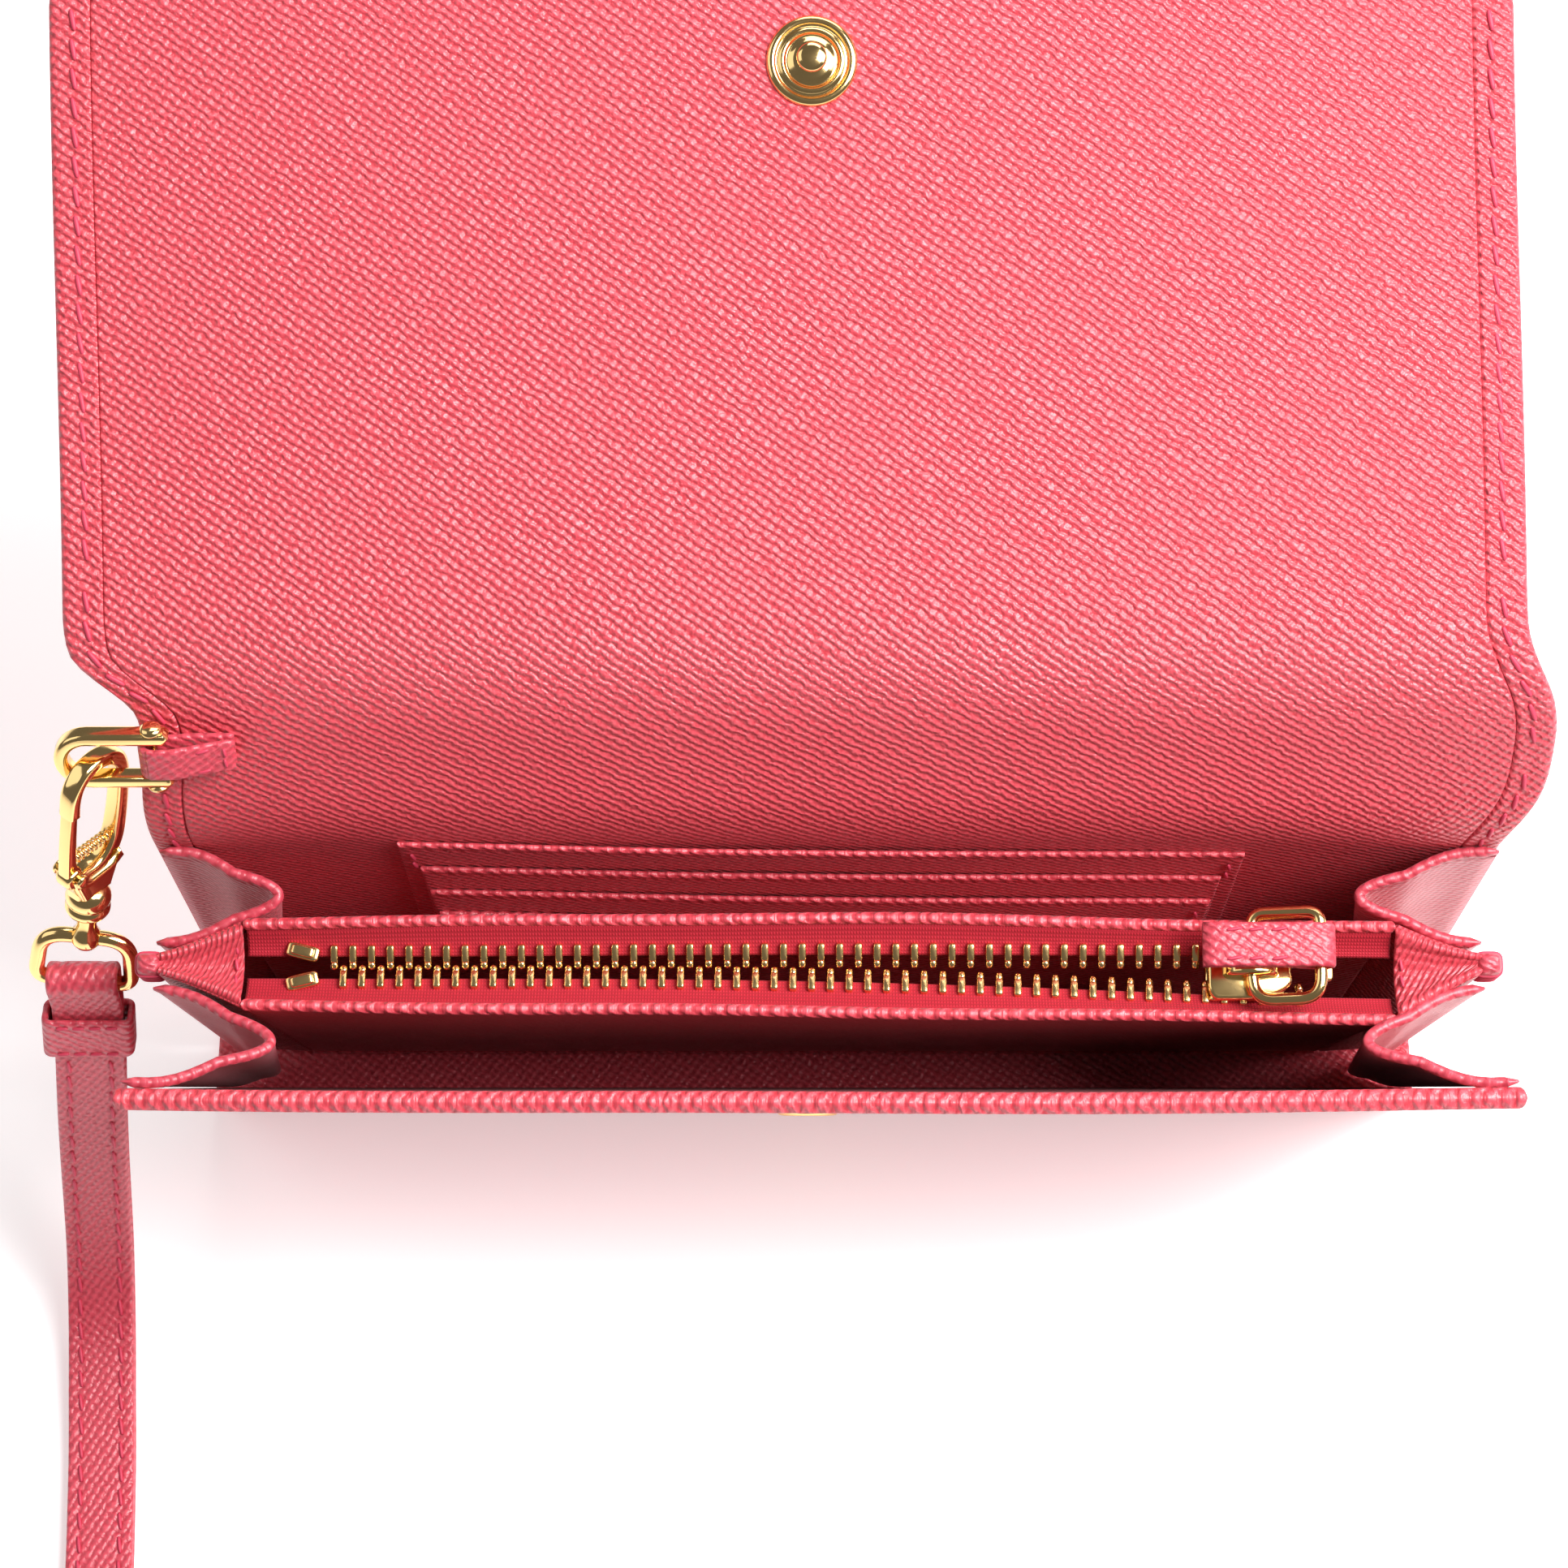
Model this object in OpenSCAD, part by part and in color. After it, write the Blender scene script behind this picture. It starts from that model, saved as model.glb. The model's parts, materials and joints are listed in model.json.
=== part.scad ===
// Wristlet wallet: flap wallet with accordion gussets, a zipped middle pocket and a clip-on wrist strap.
// It stands open on its base, width along X, front towards -Y.

/* [Body] */
// Width of the wallet body
body_w = 162; // [150:1:175]
// Sideways offset of the body from the flap's centre line
body_x = 1.5; // [0.5:0.5:1.5]
// Depth of the base
base_d = 15.2; // [14:0.2:16]
// Height of the back, from the base to its fold
rear_h = 84; // [82:1:86]
// Width of the back above the gussets, fold to fold
spine_h = 23; // [22.5:0.5:23.5]
// Length of the flap from its fold
flap_h = 83; // [78:1:84]
// Height of the front
front_h = 77.5; // [76:0.5:77.5]
// Height of the middle pocket
pocket_h = 74; // [72:1:74]
// Forward lean of the back
rear_lean = 7; // [6:0.5:7]
// Backward lean of the spine
spine_lean = 22; // [20:1:24]
// Backward lean of the flap
flap_lean = 65; // [60:1:70]
// Forward lean of the middle pocket
pocket_lean = 13.6; // [13:0.2:14]
// Forward lean of the front
front_lean = 20.6; // [20:0.2:22]

/* [Leather] */
// Thickness of the outer leather with its turned edge
outer_t = 1.2; // [1.1:0.1:1.3]
// Thickness of the lining leather
lining_t = 0.6; // [0.5:0.1:0.7]
// Thickness of the stiffening board
board_t = 0.4; // [0.3:0.1:0.5]
// Thickness of the gusset leather
gusset_t = 0.9; // [0.7:0.1:0.9]
// Corner radius of the flap
flap_r = 6; // [5:1:10]
// Width of the card slots
slot_w = 98; // [96:1:100]
// Step from one card slot to the next
slot_step = 7.4; // [6:0.2:8]

/* [Zip] */
// Number of teeth on each side
teeth = 52; // [40:1:54]
// Distance between teeth
tooth_pitch = 2.2; // [2:0.1:2.2]
// Distance of the open slider from the middle
slider_x = 52; // [50:0.5:53]
// Diameter of the puller's wire
puller_wire = 1.5; // [1.3:0.1:1.5]
// Length of the leather pull tab
tab_len = 14; // [10:1:14]

/* [Clasp and strap] */
// Diameter of the snap's base
snap_d = 10.2; // [9:0.2:11]
// Width of the ring's strip
ring_strip = 1.6; // [1.4:0.1:1.6]
// Outer width of the clasp
clasp_w = 9.6; // [9.4:0.1:9.8]
// Turn of the clasp about its own length
clasp_yaw = 55; // [53:1:58]
// Outer width of the strap ring
strap_ring_w = 13.4; // [12:0.2:13.6]
// Width of the wrist strap
strap_w = 8.6; // [8:0.2:9]
// Thickness of one layer of the strap
strap_t = 1.1; // [1:0.1:1.2]
// Length of the strap that lies on the floor
strap_foot = 99.2; // [60:0.2:106]

/* [Hidden] */
$fn = 48;
hull_fn = 16;
eps = 0.01;
leather = [0.84, 0.25, 0.38];
lining_c = [0.86, 0.30, 0.42];
gusset_c = [0.78, 0.25, 0.36];
tape_c = [0.72, 0.06, 0.20];
board_c = [0.75, 0.70, 0.62];
gold = [0.86, 0.66, 0.32];
panel_t = outer_t + lining_t;
half_t = panel_t / 2;
hem = 4.7;
fold_gap = 1.1;
base_t = 1.6;
base_y = base_d / 2;
wall_y = base_y - 1.6;
body_left = body_x - body_w / 2;
body_right = body_x + body_w / 2;
flap_w = 165;
rear_left = body_left + 2.5;

// Fold axes, as [y, z]
function turned(y, z, lean) = [y * cos(lean) - z * sin(lean), y * sin(lean) + z * cos(lean)];
rear_fold = [wall_y, 0] + turned(half_t, rear_h, rear_lean);
flap_fold = rear_fold + turned(0, spine_h, -spine_lean);
front_axis = [-wall_y - half_t, base_t + 0.2];
pocket_axis = [0, base_t + 1];

// Middle pocket
pocket_foot = 1;
seam_top = 3;
wall_t = 1;
wall_foot = 0.3;
wall_top = 4.4;
pocket_left = body_left + 13.5;
pocket_right = body_right - 13.5;
pocket_mid = (pocket_left + pocket_right) / 2;
end_tip = 3.9;
tack_len = 2.8;
tape_z = 70.5;
tape_t = 0.8;
tooth_gap = 0.9;
tooth_len = 1.5;
tooth_h = 1.7;
tooth_x = 1.1;
chain_left = -56;
slider_len = 10;
slider_w = 7.8;
slider_floor = 68.6;
slider_roof = 72.3;
plate_t = 1.2;
loop_z = 75.2;
loop_len = 8;
loop_tilt = 15;
loop_front = -3.1;
loop_back = 6.8;

// Snap
snap_x = 0.5;
stud_z = flap_h - 14.5;
rivet_r = 4;
board_gap = 5;
socket_z = 14.9;
post_r = 1.7;

// Ring, clasp and strap, measured from the fold at the back
ring_x = -74;
ring_y = -3;
ring_z = 13;
ring_half = 4;
ring_t = 1.6;
arm_len = 8.6;
pin_r = 0.5;
hang_x = -81.2;
hang = rear_fold + turned(ring_y, ring_z - ring_half + ring_t / 2, -spine_lean);
clasp_out = 9.2;
hook_wall = 1.5;
hook_t = 2.2;
eye_r = clasp_w / 2 - hook_wall;
eye_drop = 1.1;
gate_z = -13.2;
gate_x = -3.3;
collar_top = -17.5;
collar_end = -21.5;
ring_bar = 1.9;
bar_top = -26;
bar_low = -33.5;

// Middle line of the strap below its ring, as [x, y, z]; round numbers chosen by hand
strap_landing = -41;
strap_ring_at = [hang_x, hang[0], hang[1]]
    + [sin(clasp_out) * bar_low, cos(clasp_out) * sin(spine_lean) * bar_low,
       cos(clasp_out) * cos(spine_lean) * bar_low];
strap_path = [[-87, -16.3, 59], [-87.4, -19, 50], [-88, -22, 40], [-88.6, -25, 30], [-89.4, -28, 20],
              [-90, -31, 13], [-90.5, -35, 7.5], [-91, strap_landing, 4], [-91.2, -48, 2.6],
              [-91, -60, 1.5], [-90.6, -80, 1.5], [-90, strap_landing - strap_foot, 1.5]];

// ---- Placement ----

module at(point, lean) {
    translate([0, point[0], point[1]])
        rotate([lean, 0, 0])
            children();
}

module in_rear() { at([wall_y, 0], rear_lean) children(); }
module in_spine() { at(rear_fold, -spine_lean) children(); }
module in_flap() { at(flap_fold, -flap_lean) children(); }
module in_pocket() { at(pocket_axis, pocket_lean) children(); }
module in_front() { at(front_axis, front_lean) children(); }

module in_clasp() {
    translate([hang_x, hang[0], hang[1]])
        rotate([-spine_lean, 0, 0])
            rotate([0, clasp_out, 0])
                children();
}

// ---- Shapes ----

// Upright plate: x from left to right, y from back to front face, z from low to high, top corners rounded
module plate(left, right, y0, y1, z0, z1, r = 1) {
    translate([0, y1, 0])
        rotate([90, 0, 0])
            linear_extrude(y1 - y0) {
                translate([left, z0])
                    square([right - left, z1 - z0 - r]);
                translate([left + r, z1 - r - eps])
                    square([right - left - 2 * r, r + eps]);
                for (x = [left + r, right - r])
                    translate([x, z1 - r])
                        circle(r);
            }
}

// A bar along X with a section given in y and z
module bar(left, right) {
    translate([left, 0, 0])
        rotate([90, 0, 90])
            linear_extrude(right - left)
                children();
}

module below_base() {
    translate([body_left - 1, -30, -10])
        cube([body_w + 2, 60, 10 + base_t]);
}

// Leather that bends round a fold axis, between two panels
module fold_section(lean_a, lean_b) {
    circle(d = panel_t);
    rotate(lean_a)
        translate([-half_t, -fold_gap])
            square([panel_t, fold_gap]);
    rotate(lean_b)
        translate([-half_t, 0])
            square([panel_t, fold_gap]);
}

// A flat three-cornered sheet of leather
module sheet(corners) {
    hull()
        for (c = corners)
            translate(c)
                cube([gusset_t, gusset_t, eps * 10], center = true);
}

// Strip of section w by t swept through points, its width along X
function strip_ring(p, d, w, t, shift) =
    let (n = [0, -d[2], d[1]] / norm([0, d[2], d[1]]))
    [for (s = [[-1, -1], [1, -1], [1, 1], [-1, 1]])
        p + [s[0] * w / 2, 0, 0] + n * (shift + s[1] * t / 2)];

function way(path, i) =
    let (last = len(path) - 1)
    path[min(i + 1, last)] - path[max(i - 1, 0)];

module strip(path, w, t, shift) {
    count = len(path);
    rings = [for (i = [0 : count - 1]) strip_ring(path[i], way(path, i), w, t, shift)];
    points = [for (r = rings) each r];
    sides = [for (i = [0 : count - 2]) for (k = [0 : 3])
        each [[4 * i + k, 4 * i + (k + 1) % 4, 4 * i + 4 + k],
              [4 * i + (k + 1) % 4, 4 * i + 4 + (k + 1) % 4, 4 * i + 4 + k]]];
    ends = [[3, 2, 1], [3, 1, 0],
            [4 * count - 4, 4 * count - 3, 4 * count - 2], [4 * count - 4, 4 * count - 2, 4 * count - 1]];
    polyhedron(points, concat(sides, ends));
}

// ---- Base and back ----

module base_panel() {
    color(leather)
        translate([body_left, -base_y, 0])
            cube([body_w, base_d, base_t]);
}

module rear_outer() {
    color(leather)
        in_rear()
            difference() {
                plate(rear_left, body_right, lining_t, panel_t, base_t + 0.3, rear_h - fold_gap, 0.5);
                plate(rear_left + hem, body_right - hem, lining_t - 1, lining_t + board_t,
                      base_t + hem, rear_h - fold_gap - hem);
            }
}

module rear_board() {
    color(board_c)
        in_rear()
            plate(rear_left + hem + 0.1, body_right - hem - 0.1, lining_t, lining_t + board_t - 0.02,
                  base_t + hem + 0.1, rear_h - fold_gap - hem - 0.1);
}

module rear_lining() {
    color(lining_c)
        in_rear()
            plate(rear_left, body_right, 0, lining_t, base_t + 0.3, rear_h - fold_gap, 0.5);
}

// The slots lie on each other on the lining, 0 at the back
module card_slot(i) {
    slot_t = 0.6;
    slot_pitch = 0.65;
    slot_depth = 54;
    slot_x = 2;
    top = 75 - i * slot_step;
    color(leather)
        in_rear()
            plate(slot_x - slot_w / 2, slot_x + slot_w / 2, -(i + 1) * slot_pitch, -(i + 1) * slot_pitch + slot_t,
                  max(8, top - slot_depth), top);
}

module card_slot_back() { card_slot(0); }
module card_slot_upper() { card_slot(1); }
module card_slot_middle() { card_slot(2); }
module card_slot_lower() { card_slot(3); }

// ---- Spine ----

module spine_outer() {
    color(leather)
        in_spine()
            plate(rear_left, body_right, lining_t - half_t, half_t, fold_gap, spine_h - fold_gap, 0.5);
}

module spine_lining() {
    color(lining_c)
        in_spine()
            plate(rear_left, body_right, -half_t, lining_t - half_t, fold_gap, spine_h - fold_gap, 0.5);
}

module rear_fold_strip() {
    color(leather)
        at(rear_fold, 0)
            bar(rear_left, body_right)
                fold_section(rear_lean, -spine_lean);
}

// Leather tab sewn to the spine, with a loop round the pin of the ring
module ring_tab() {
    tab_w = 4.4;
    loop_r = 2;
    sewn_end = -61;
    color(leather)
        in_spine()
            translate([0, 0, ring_z - tab_w / 2])
                difference() {
                    union() {
                        translate([ring_x, ring_y, 0])
                            cylinder(r = loop_r, h = tab_w);
                        translate([ring_x, -half_t - 1, 0])
                            cube([sewn_end - ring_x, 1, tab_w]);
                    }
                    translate([ring_x, ring_y, -1])
                        cylinder(r = pin_r + 0.05, h = tab_w + 2);
                }
}

// ---- Flap ----

module flap_outer() {
    color(leather)
        in_flap()
            difference() {
                plate(-flap_w / 2, flap_w / 2, lining_t - half_t, half_t, fold_gap, flap_h, flap_r);
                plate(-flap_w / 2 + hem, flap_w / 2 - hem, lining_t - half_t - 1, lining_t - half_t + board_t,
                      fold_gap + hem, stud_z - board_gap, flap_r - hem);
                translate([snap_x, -half_t, stud_z])
                    rotate([-90, 0, 0])
                        cylinder(r = rivet_r, h = lining_t + board_t);
            }
}

module flap_board() {
    inset = hem + 0.1;
    color(board_c)
        in_flap()
            plate(-flap_w / 2 + inset, flap_w / 2 - inset, lining_t - half_t, lining_t - half_t + board_t - 0.02,
                  fold_gap + inset, stud_z - board_gap - 0.1, flap_r - hem);
}

module flap_lining() {
    color(lining_c)
        in_flap()
            difference() {
                plate(-flap_w / 2, flap_w / 2, -half_t, lining_t - half_t, fold_gap, flap_h, flap_r);
                snap_hole(stud_z, 1.2);
            }
}

module snap_hole(z, r) {
    translate([snap_x, -5, z])
        rotate([-90, 0, 0])
            cylinder(r = r, h = 10);
}

module flap_fold_strip() {
    color(leather)
        at(flap_fold, 0)
            bar(rear_left, body_right - 1)
                fold_section(-spine_lean, -flap_lean);
}

// Ball stud: stepped base, neck and ball, drawn along +Z and turned to stand on the lining
module snap_stud() {
    color(gold)
        in_flap()
            translate([snap_x, -half_t, stud_z])
                rotate([90, 0, 0])
                    rotate_extrude()
                        polygon([[0, 0], [snap_d / 2, 0], [snap_d / 2, 0.5], [snap_d / 2 - 0.5, 0.9],
                                 [3.6, 0.9], [3.4, 0.7], [2.6, 0.7], [2.2, 1.1], [1.4, 1.3], [1.3, 1.9],
                                 [post_r, 2.3], [post_r, 2.7], [1.2, 3.1], [0, 3.2]]);
}

module snap_stud_rivet() {
    color(gold)
        in_flap()
            translate([snap_x, -half_t, stud_z])
                rotate([-90, 0, 0]) {
                    cylinder(r = 1.15, h = lining_t);
                    translate([0, 0, lining_t])
                        cylinder(r = rivet_r - 0.02, h = board_t - 0.02);
                }
}

// ---- Middle pocket ----

// Section of one pocket wall, side is 1 at the back and -1 at the front
module pocket_wall(side) {
    color(leather)
        in_pocket()
            bar(pocket_left, pocket_right)
                polygon([[side * wall_foot, seam_top], [side * (wall_foot + wall_t), seam_top],
                         [side * (wall_top + wall_t), pocket_h], [side * wall_top, pocket_h]]);
}

module pocket_rear_wall() { pocket_wall(1); }
module pocket_front_wall() { pocket_wall(-1); }

module pocket_seam() {
    color(leather)
        in_pocket()
            translate([pocket_left, -wall_foot - wall_t, pocket_foot])
                cube([pocket_right - pocket_left, 2 * (wall_foot + wall_t), seam_top - pocket_foot]);
}

module pocket_fold_strip() {
    color(gusset_c)
        difference() {
            at(pocket_axis, pocket_lean)
                translate([pocket_left, -0.5, -1.5])
                    cube([pocket_right - pocket_left, 1, pocket_foot + 1.5]);
            below_base();
        }
}

// Wedge of folded leather that closes one end of the pocket, from its wall to the tack
module pocket_end(side) {
    wall = side < 0 ? pocket_left - 0.03 : pocket_right + 0.03;
    tip = side < 0 ? body_left + end_tip : body_right - end_tip;
    low = [[wall, -1.3], [tip, -0.7], [tip, 0.7], [wall, 1.3]];
    high = [[wall, -wall_top - 0.8], [tip, -0.9], [tip, 0.9], [wall, wall_top + 0.8]];
    color(leather)
        in_pocket()
            hull() {
                for (p = low)
                    translate([p[0], p[1], seam_top + 0.1])
                        cylinder(r = eps, h = 0.1, $fn = 4);
                for (p = high)
                    translate([p[0], p[1], pocket_h - 0.4])
                        cylinder(r = eps, h = 0.1, $fn = 4);
            }
}

module pocket_end_left() { pocket_end(-1); }
module pocket_end_right() { pocket_end(1); }

// Bound tip where the two gusset folds are sewn together
module bar_tack(side) {
    tip = side < 0 ? body_left + end_tip - tack_len : body_right - end_tip + 0.1;
    tack_half = 1.5;
    color(gusset_c)
        in_pocket()
            translate([tip, -tack_half, pocket_h - 6])
                cube([tack_len - 0.1, 2 * tack_half, 6.4]);
}

module bar_tack_left() { bar_tack(-1); }
module bar_tack_right() { bar_tack(1); }

module zip_tape(side) {
    inner = tooth_gap + tooth_len - 0.6;
    outer = 3.9;
    color(tape_c)
        in_pocket()
            translate([pocket_left + 0.2, side > 0 ? inner : -outer, tape_z])
                cube([pocket_right - pocket_left - 0.4, outer - inner, tape_t]);
}

module zip_tape_rear() { zip_tape(1); }
module zip_tape_front() { zip_tape(-1); }

// One tooth clamped over the edge of its tape; the row leaves a slot for the tape
module zip_teeth(side) {
    slack = 0.01;
    color(gold)
        in_pocket()
            for (i = [0 : teeth - 1])
                translate([chain_left + (i + (side > 0 ? 0 : 0.5)) * tooth_pitch, 0, tape_z - 0.45])
                    difference() {
                        translate([0, side > 0 ? tooth_gap : -tooth_gap - tooth_len, 0])
                            cube([tooth_x, tooth_len, tooth_h]);
                        translate([-1, side > 0 ? tooth_gap + tooth_len - 0.6 - slack : -3, 0.45 - slack])
                            cube([3, 3 - tooth_gap - tooth_len + 0.6 + slack, tape_t + 2 * slack]);
                    }
}

module zip_teeth_rear() { zip_teeth(1); }
module zip_teeth_front() { zip_teeth(-1); }

module zip_top_stops() {
    stop_len = 3.6;
    color(gold)
        in_pocket()
            for (side = [-1, 1])
                translate([chain_left - 1.2 - stop_len, side * 1.7 - 0.8, tape_z + tape_t])
                    cube([stop_len, 1.6, 1.1]);
}

module zip_bottom_stop() {
    color(gold)
        in_pocket()
            translate([chain_left + teeth * tooth_pitch + 1.4, -1.9, tape_z + tape_t])
                cube([2, 3.8, 0.9]);
}

// ---- Gussets ----

// One side is folded inwards in a V between two sheets; seam, fold and tack run from the base to the mouth
module gusset(side, seam_y, fold_y, tack_y) {
    edge = side < 0 ? body_left + 0.9 : body_right - 0.9;
    seam_x = side < 0 && seam_y[0] > 0 ? rear_left + 0.9 : edge;
    inward = -side;
    low_z = base_t + 0.9;
    high_z = [77.4, 74.5, 73];
    seam = [[seam_x, seam_y[0], low_z], [seam_x, seam_y[1], high_z[0]]];
    fold = [[edge + inward * 9, fold_y[0], low_z], [edge + inward * 19, fold_y[1], high_z[1]]];
    tack = [[edge + inward * 4.4, tack_y[0], low_z], [edge + inward * 4.4, tack_y[1], high_z[2]]];
    color(gusset_c) {
        sheet([seam[0], seam[1], fold[1]]);
        sheet([seam[0], fold[0], fold[1]]);
        sheet([fold[0], fold[1], tack[1]]);
        sheet([fold[0], tack[0], tack[1]]);
    }
}

rear_seam_y = [5.1, -4.3];
rear_gusset_y = [3.5, -8.6];
rear_tack_y = [2, -14.2];
front_seam_y = [-5.4, -33.2];
front_gusset_y = [-3.6, -27.6];
front_tack_y = [-2.4, -20];

module gusset_rear_left() { gusset(-1, rear_seam_y, rear_gusset_y, rear_tack_y); }
module gusset_rear_right() { gusset(1, rear_seam_y, rear_gusset_y, rear_tack_y); }
module gusset_front_left() { gusset(-1, front_seam_y, front_gusset_y, front_tack_y); }
module gusset_front_right() { gusset(1, front_seam_y, front_gusset_y, front_tack_y); }

// ---- Front ----

module front_outer() {
    color(leather)
        in_front()
            difference() {
                plate(body_left, body_right, -half_t, half_t - lining_t, fold_gap, front_h, 0.5);
                plate(body_left + hem, body_right - hem, half_t - lining_t - board_t, half_t,
                      socket_z + board_gap, front_h - hem);
                translate([snap_x, half_t - lining_t - board_t, socket_z])
                    rotate([-90, 0, 0])
                        cylinder(r = rivet_r, h = panel_t);
            }
}

module front_board() {
    color(board_c)
        in_front()
            plate(body_left + hem + 0.1, body_right - hem - 0.1, half_t - lining_t - board_t + 0.02,
                  half_t - lining_t, socket_z + board_gap + 0.1, front_h - hem - 0.1);
}

module front_lining() {
    color(lining_c)
        in_front()
            plate(body_left, body_right, half_t - lining_t, half_t, fold_gap, front_h, 0.5);
}

// Rolled edge along the top of the front
module front_edge_roll() {
    roll_r = 1.3;
    color(leather)
        in_front()
            bar(body_left, body_right)
                translate([0, front_h + roll_r])
                    circle(roll_r);
}

module front_fold_strip() {
    color(leather)
        difference() {
            at(front_axis, 0)
                bar(body_left, body_right)
                    fold_section(0, front_lean);
            below_base();
        }
}

// Socket ring that the stud's ball snaps into
module snap_socket() {
    color(gold)
        in_front()
            translate([snap_x, -half_t, socket_z])
                rotate([90, 0, 0])
                    rotate_extrude()
                        polygon([[2.3, 0], [snap_d / 2 - 0.2, 0], [snap_d / 2 - 0.2, 0.6], [4.2, 1],
                                 [3.9, 1.6], [2.6, 1.6], [2.3, 1.3]]);
}

module snap_socket_rivet() {
    color(gold)
        in_front()
            translate([snap_x, half_t - lining_t - board_t + 0.02, socket_z])
                rotate([-90, 0, 0])
                    cylinder(r = rivet_r - 0.02, h = board_t - 0.02);
}

// ---- Slider and puller ----

module slider_body() {
    bridge_x = 5.4;
    bridge_y = 3;
    bridge_top = 76.6;
    tunnel_r = puller_wire / 2 + 0.15;
    color(gold)
        in_pocket()
            translate([slider_x, 0, 0]) {
                difference() {
                    union() {
                        translate([0, 0, slider_floor])
                            slider_plate();
                        translate([0, 0, slider_roof])
                            slider_plate();
                        translate([0, 0, slider_floor + eps])
                            cylinder(r = 0.62, h = slider_roof - slider_floor);
                        translate([-bridge_x / 2, -bridge_y / 2, slider_roof + eps])
                            cube([bridge_x, bridge_y, bridge_top - slider_roof]);
                    }
                    translate([0, bridge_y, loop_z])
                        rotate([90, 0, 0])
                            cylinder(r = tunnel_r, h = 2 * bridge_y);
                }
            }
}

// Plate of the slider, narrower at its closing end
module slider_plate() {
    linear_extrude(plate_t)
        polygon([[-slider_len / 2, -slider_w / 2 + 1], [-slider_len / 2 + 1, -slider_w / 2],
                 [1, -slider_w / 2], [slider_len / 2, -slider_w / 2 + 1.6],
                 [slider_len / 2, slider_w / 2 - 1.6], [1, slider_w / 2],
                 [-slider_len / 2 + 1, slider_w / 2], [-slider_len / 2, slider_w / 2 - 1]]);
}

// Closed wire ring: its near arm lies in the bridge, its far arm carries the tab
module puller_loop() {
    r = puller_wire / 2;
    color(gold)
        in_pocket()
            translate([slider_x, 0, loop_z])
                rotate([0, -loop_tilt, 0]) {
                    for (x = [0, loop_len])
                        translate([x, loop_back, 0])
                            rotate([90, 0, 0])
                                cylinder(r = r, h = loop_back - loop_front);
                    for (y = [loop_front, loop_back])
                        translate([0, y, 0])
                            rotate([0, 90, 0])
                                cylinder(r = r, h = loop_len);
                    for (x = [0, loop_len])
                        for (y = [loop_front, loop_back])
                            translate([x, y, 0])
                                sphere(r);
                }
}

// Doubled leather tab folded round the far arm, lying back over the slider
module pull_tab() {
    fold_r = 1.9;
    width = 5.4;
    start = -0.6;
    color(leather)
        in_pocket()
            translate([slider_x + loop_len * cos(loop_tilt), start, loop_z + loop_len * sin(loop_tilt)])
                difference() {
                    union() {
                        rotate([-90, 0, 0])
                            cylinder(r = fold_r, h = width);
                        translate([-tab_len, 0, 0.1])
                            cube([tab_len, width, fold_r - 0.1]);
                    }
                    translate([0, -1, 0])
                        rotate([-90, 0, 0])
                            cylinder(r = puller_wire / 2 + 0.06, h = width + 2);
                }
}

// ---- Ring ----

// Flat strip bent to a U, its eyes on the pin
module d_ring() {
    inner = ring_half - ring_t;
    color(gold)
        in_spine()
            translate([ring_x, ring_y + ring_strip / 2, ring_z])
                rotate([90, 0, 0])
                    difference() {
                        linear_extrude(ring_strip)
                            difference() {
                                union() {
                                    translate([-arm_len, -ring_half])
                                        square([arm_len + 1.6, 2 * ring_half]);
                                    translate([-arm_len, 0])
                                        circle(ring_half);
                                }
                                translate([-arm_len, -inner])
                                    square([arm_len + 3, 2 * inner]);
                                translate([-arm_len, 0])
                                    circle(inner);
                            }
                        translate([0, ring_half + 1, ring_strip / 2])
                            rotate([90, 0, 0])
                                cylinder(r = pin_r, h = 2 * ring_half + 2);
                    }
}

module d_ring_pin() {
    head_r = 1.3;
    head_h = 0.6;
    color(gold)
        in_spine()
            translate([ring_x, ring_y, ring_z - ring_half]) {
                cylinder(r = pin_r, h = 2 * ring_half);
                for (z = [-head_h, 2 * ring_half])
                    translate([0, 0, z])
                        cylinder(r = head_r, h = head_h);
            }
}

// ---- Clasp, drawn hanging down -Z from the middle of the ring's strip ----

module in_hook() { in_clasp() rotate([0, 0, clasp_yaw]) children(); }

module upright(t) {
    translate([0, t / 2, 0])
        rotate([90, 0, 0])
            linear_extrude(t)
                children();
}

module hook_outline(r) {
    translate([0, -eye_drop])
        circle(r);
    translate([-r, gate_z + 1.2])
        square([2 * r, -eye_drop - gate_z - 1.2]);
}

module clasp_body() {
    shank_w = 7.6;
    collar_r = 2.7;
    color(gold)
        in_hook()
            difference() {
                union() {
                    upright(hook_t)
                        difference() {
                            hook_outline(clasp_w / 2);
                            hook_outline(eye_r);
                            translate([-clasp_w, gate_z])
                                square([clasp_w - eye_r + 0.5, -gate_z - eye_drop - 1]);
                        }
                    upright(3.6)
                        polygon([[-clasp_w / 2, gate_z + 1.2], [-clasp_w / 2, gate_z - 2],
                                 [-shank_w / 2 + 1, collar_top], [shank_w / 2 - 1, collar_top],
                                 [clasp_w / 2, gate_z - 2], [clasp_w / 2, gate_z + 1.2]]);
                    translate([0, 0, collar_end])
                        cylinder(r = collar_r, h = collar_top - collar_end + 0.3);
                }
                // Room for the foot of the gate and its swing
                upright(2.3) {
                    translate([gate_x, gate_z])
                        circle(1.6);
                    translate([-clasp_w, gate_z])
                        square([clasp_w - 1, 3]);
                }
                translate([gate_x, 3, gate_z])
                    rotate([90, 0, 0])
                        cylinder(r = 0.7, h = 6);
                // Captive bore of the swivel
                translate([0, 0, collar_end - 1])
                    cylinder(r = 1.25, h = 4);
                translate([0, 0, collar_end + 1.6])
                    cylinder(r = 2, h = 1.6);
            }
}

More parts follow.
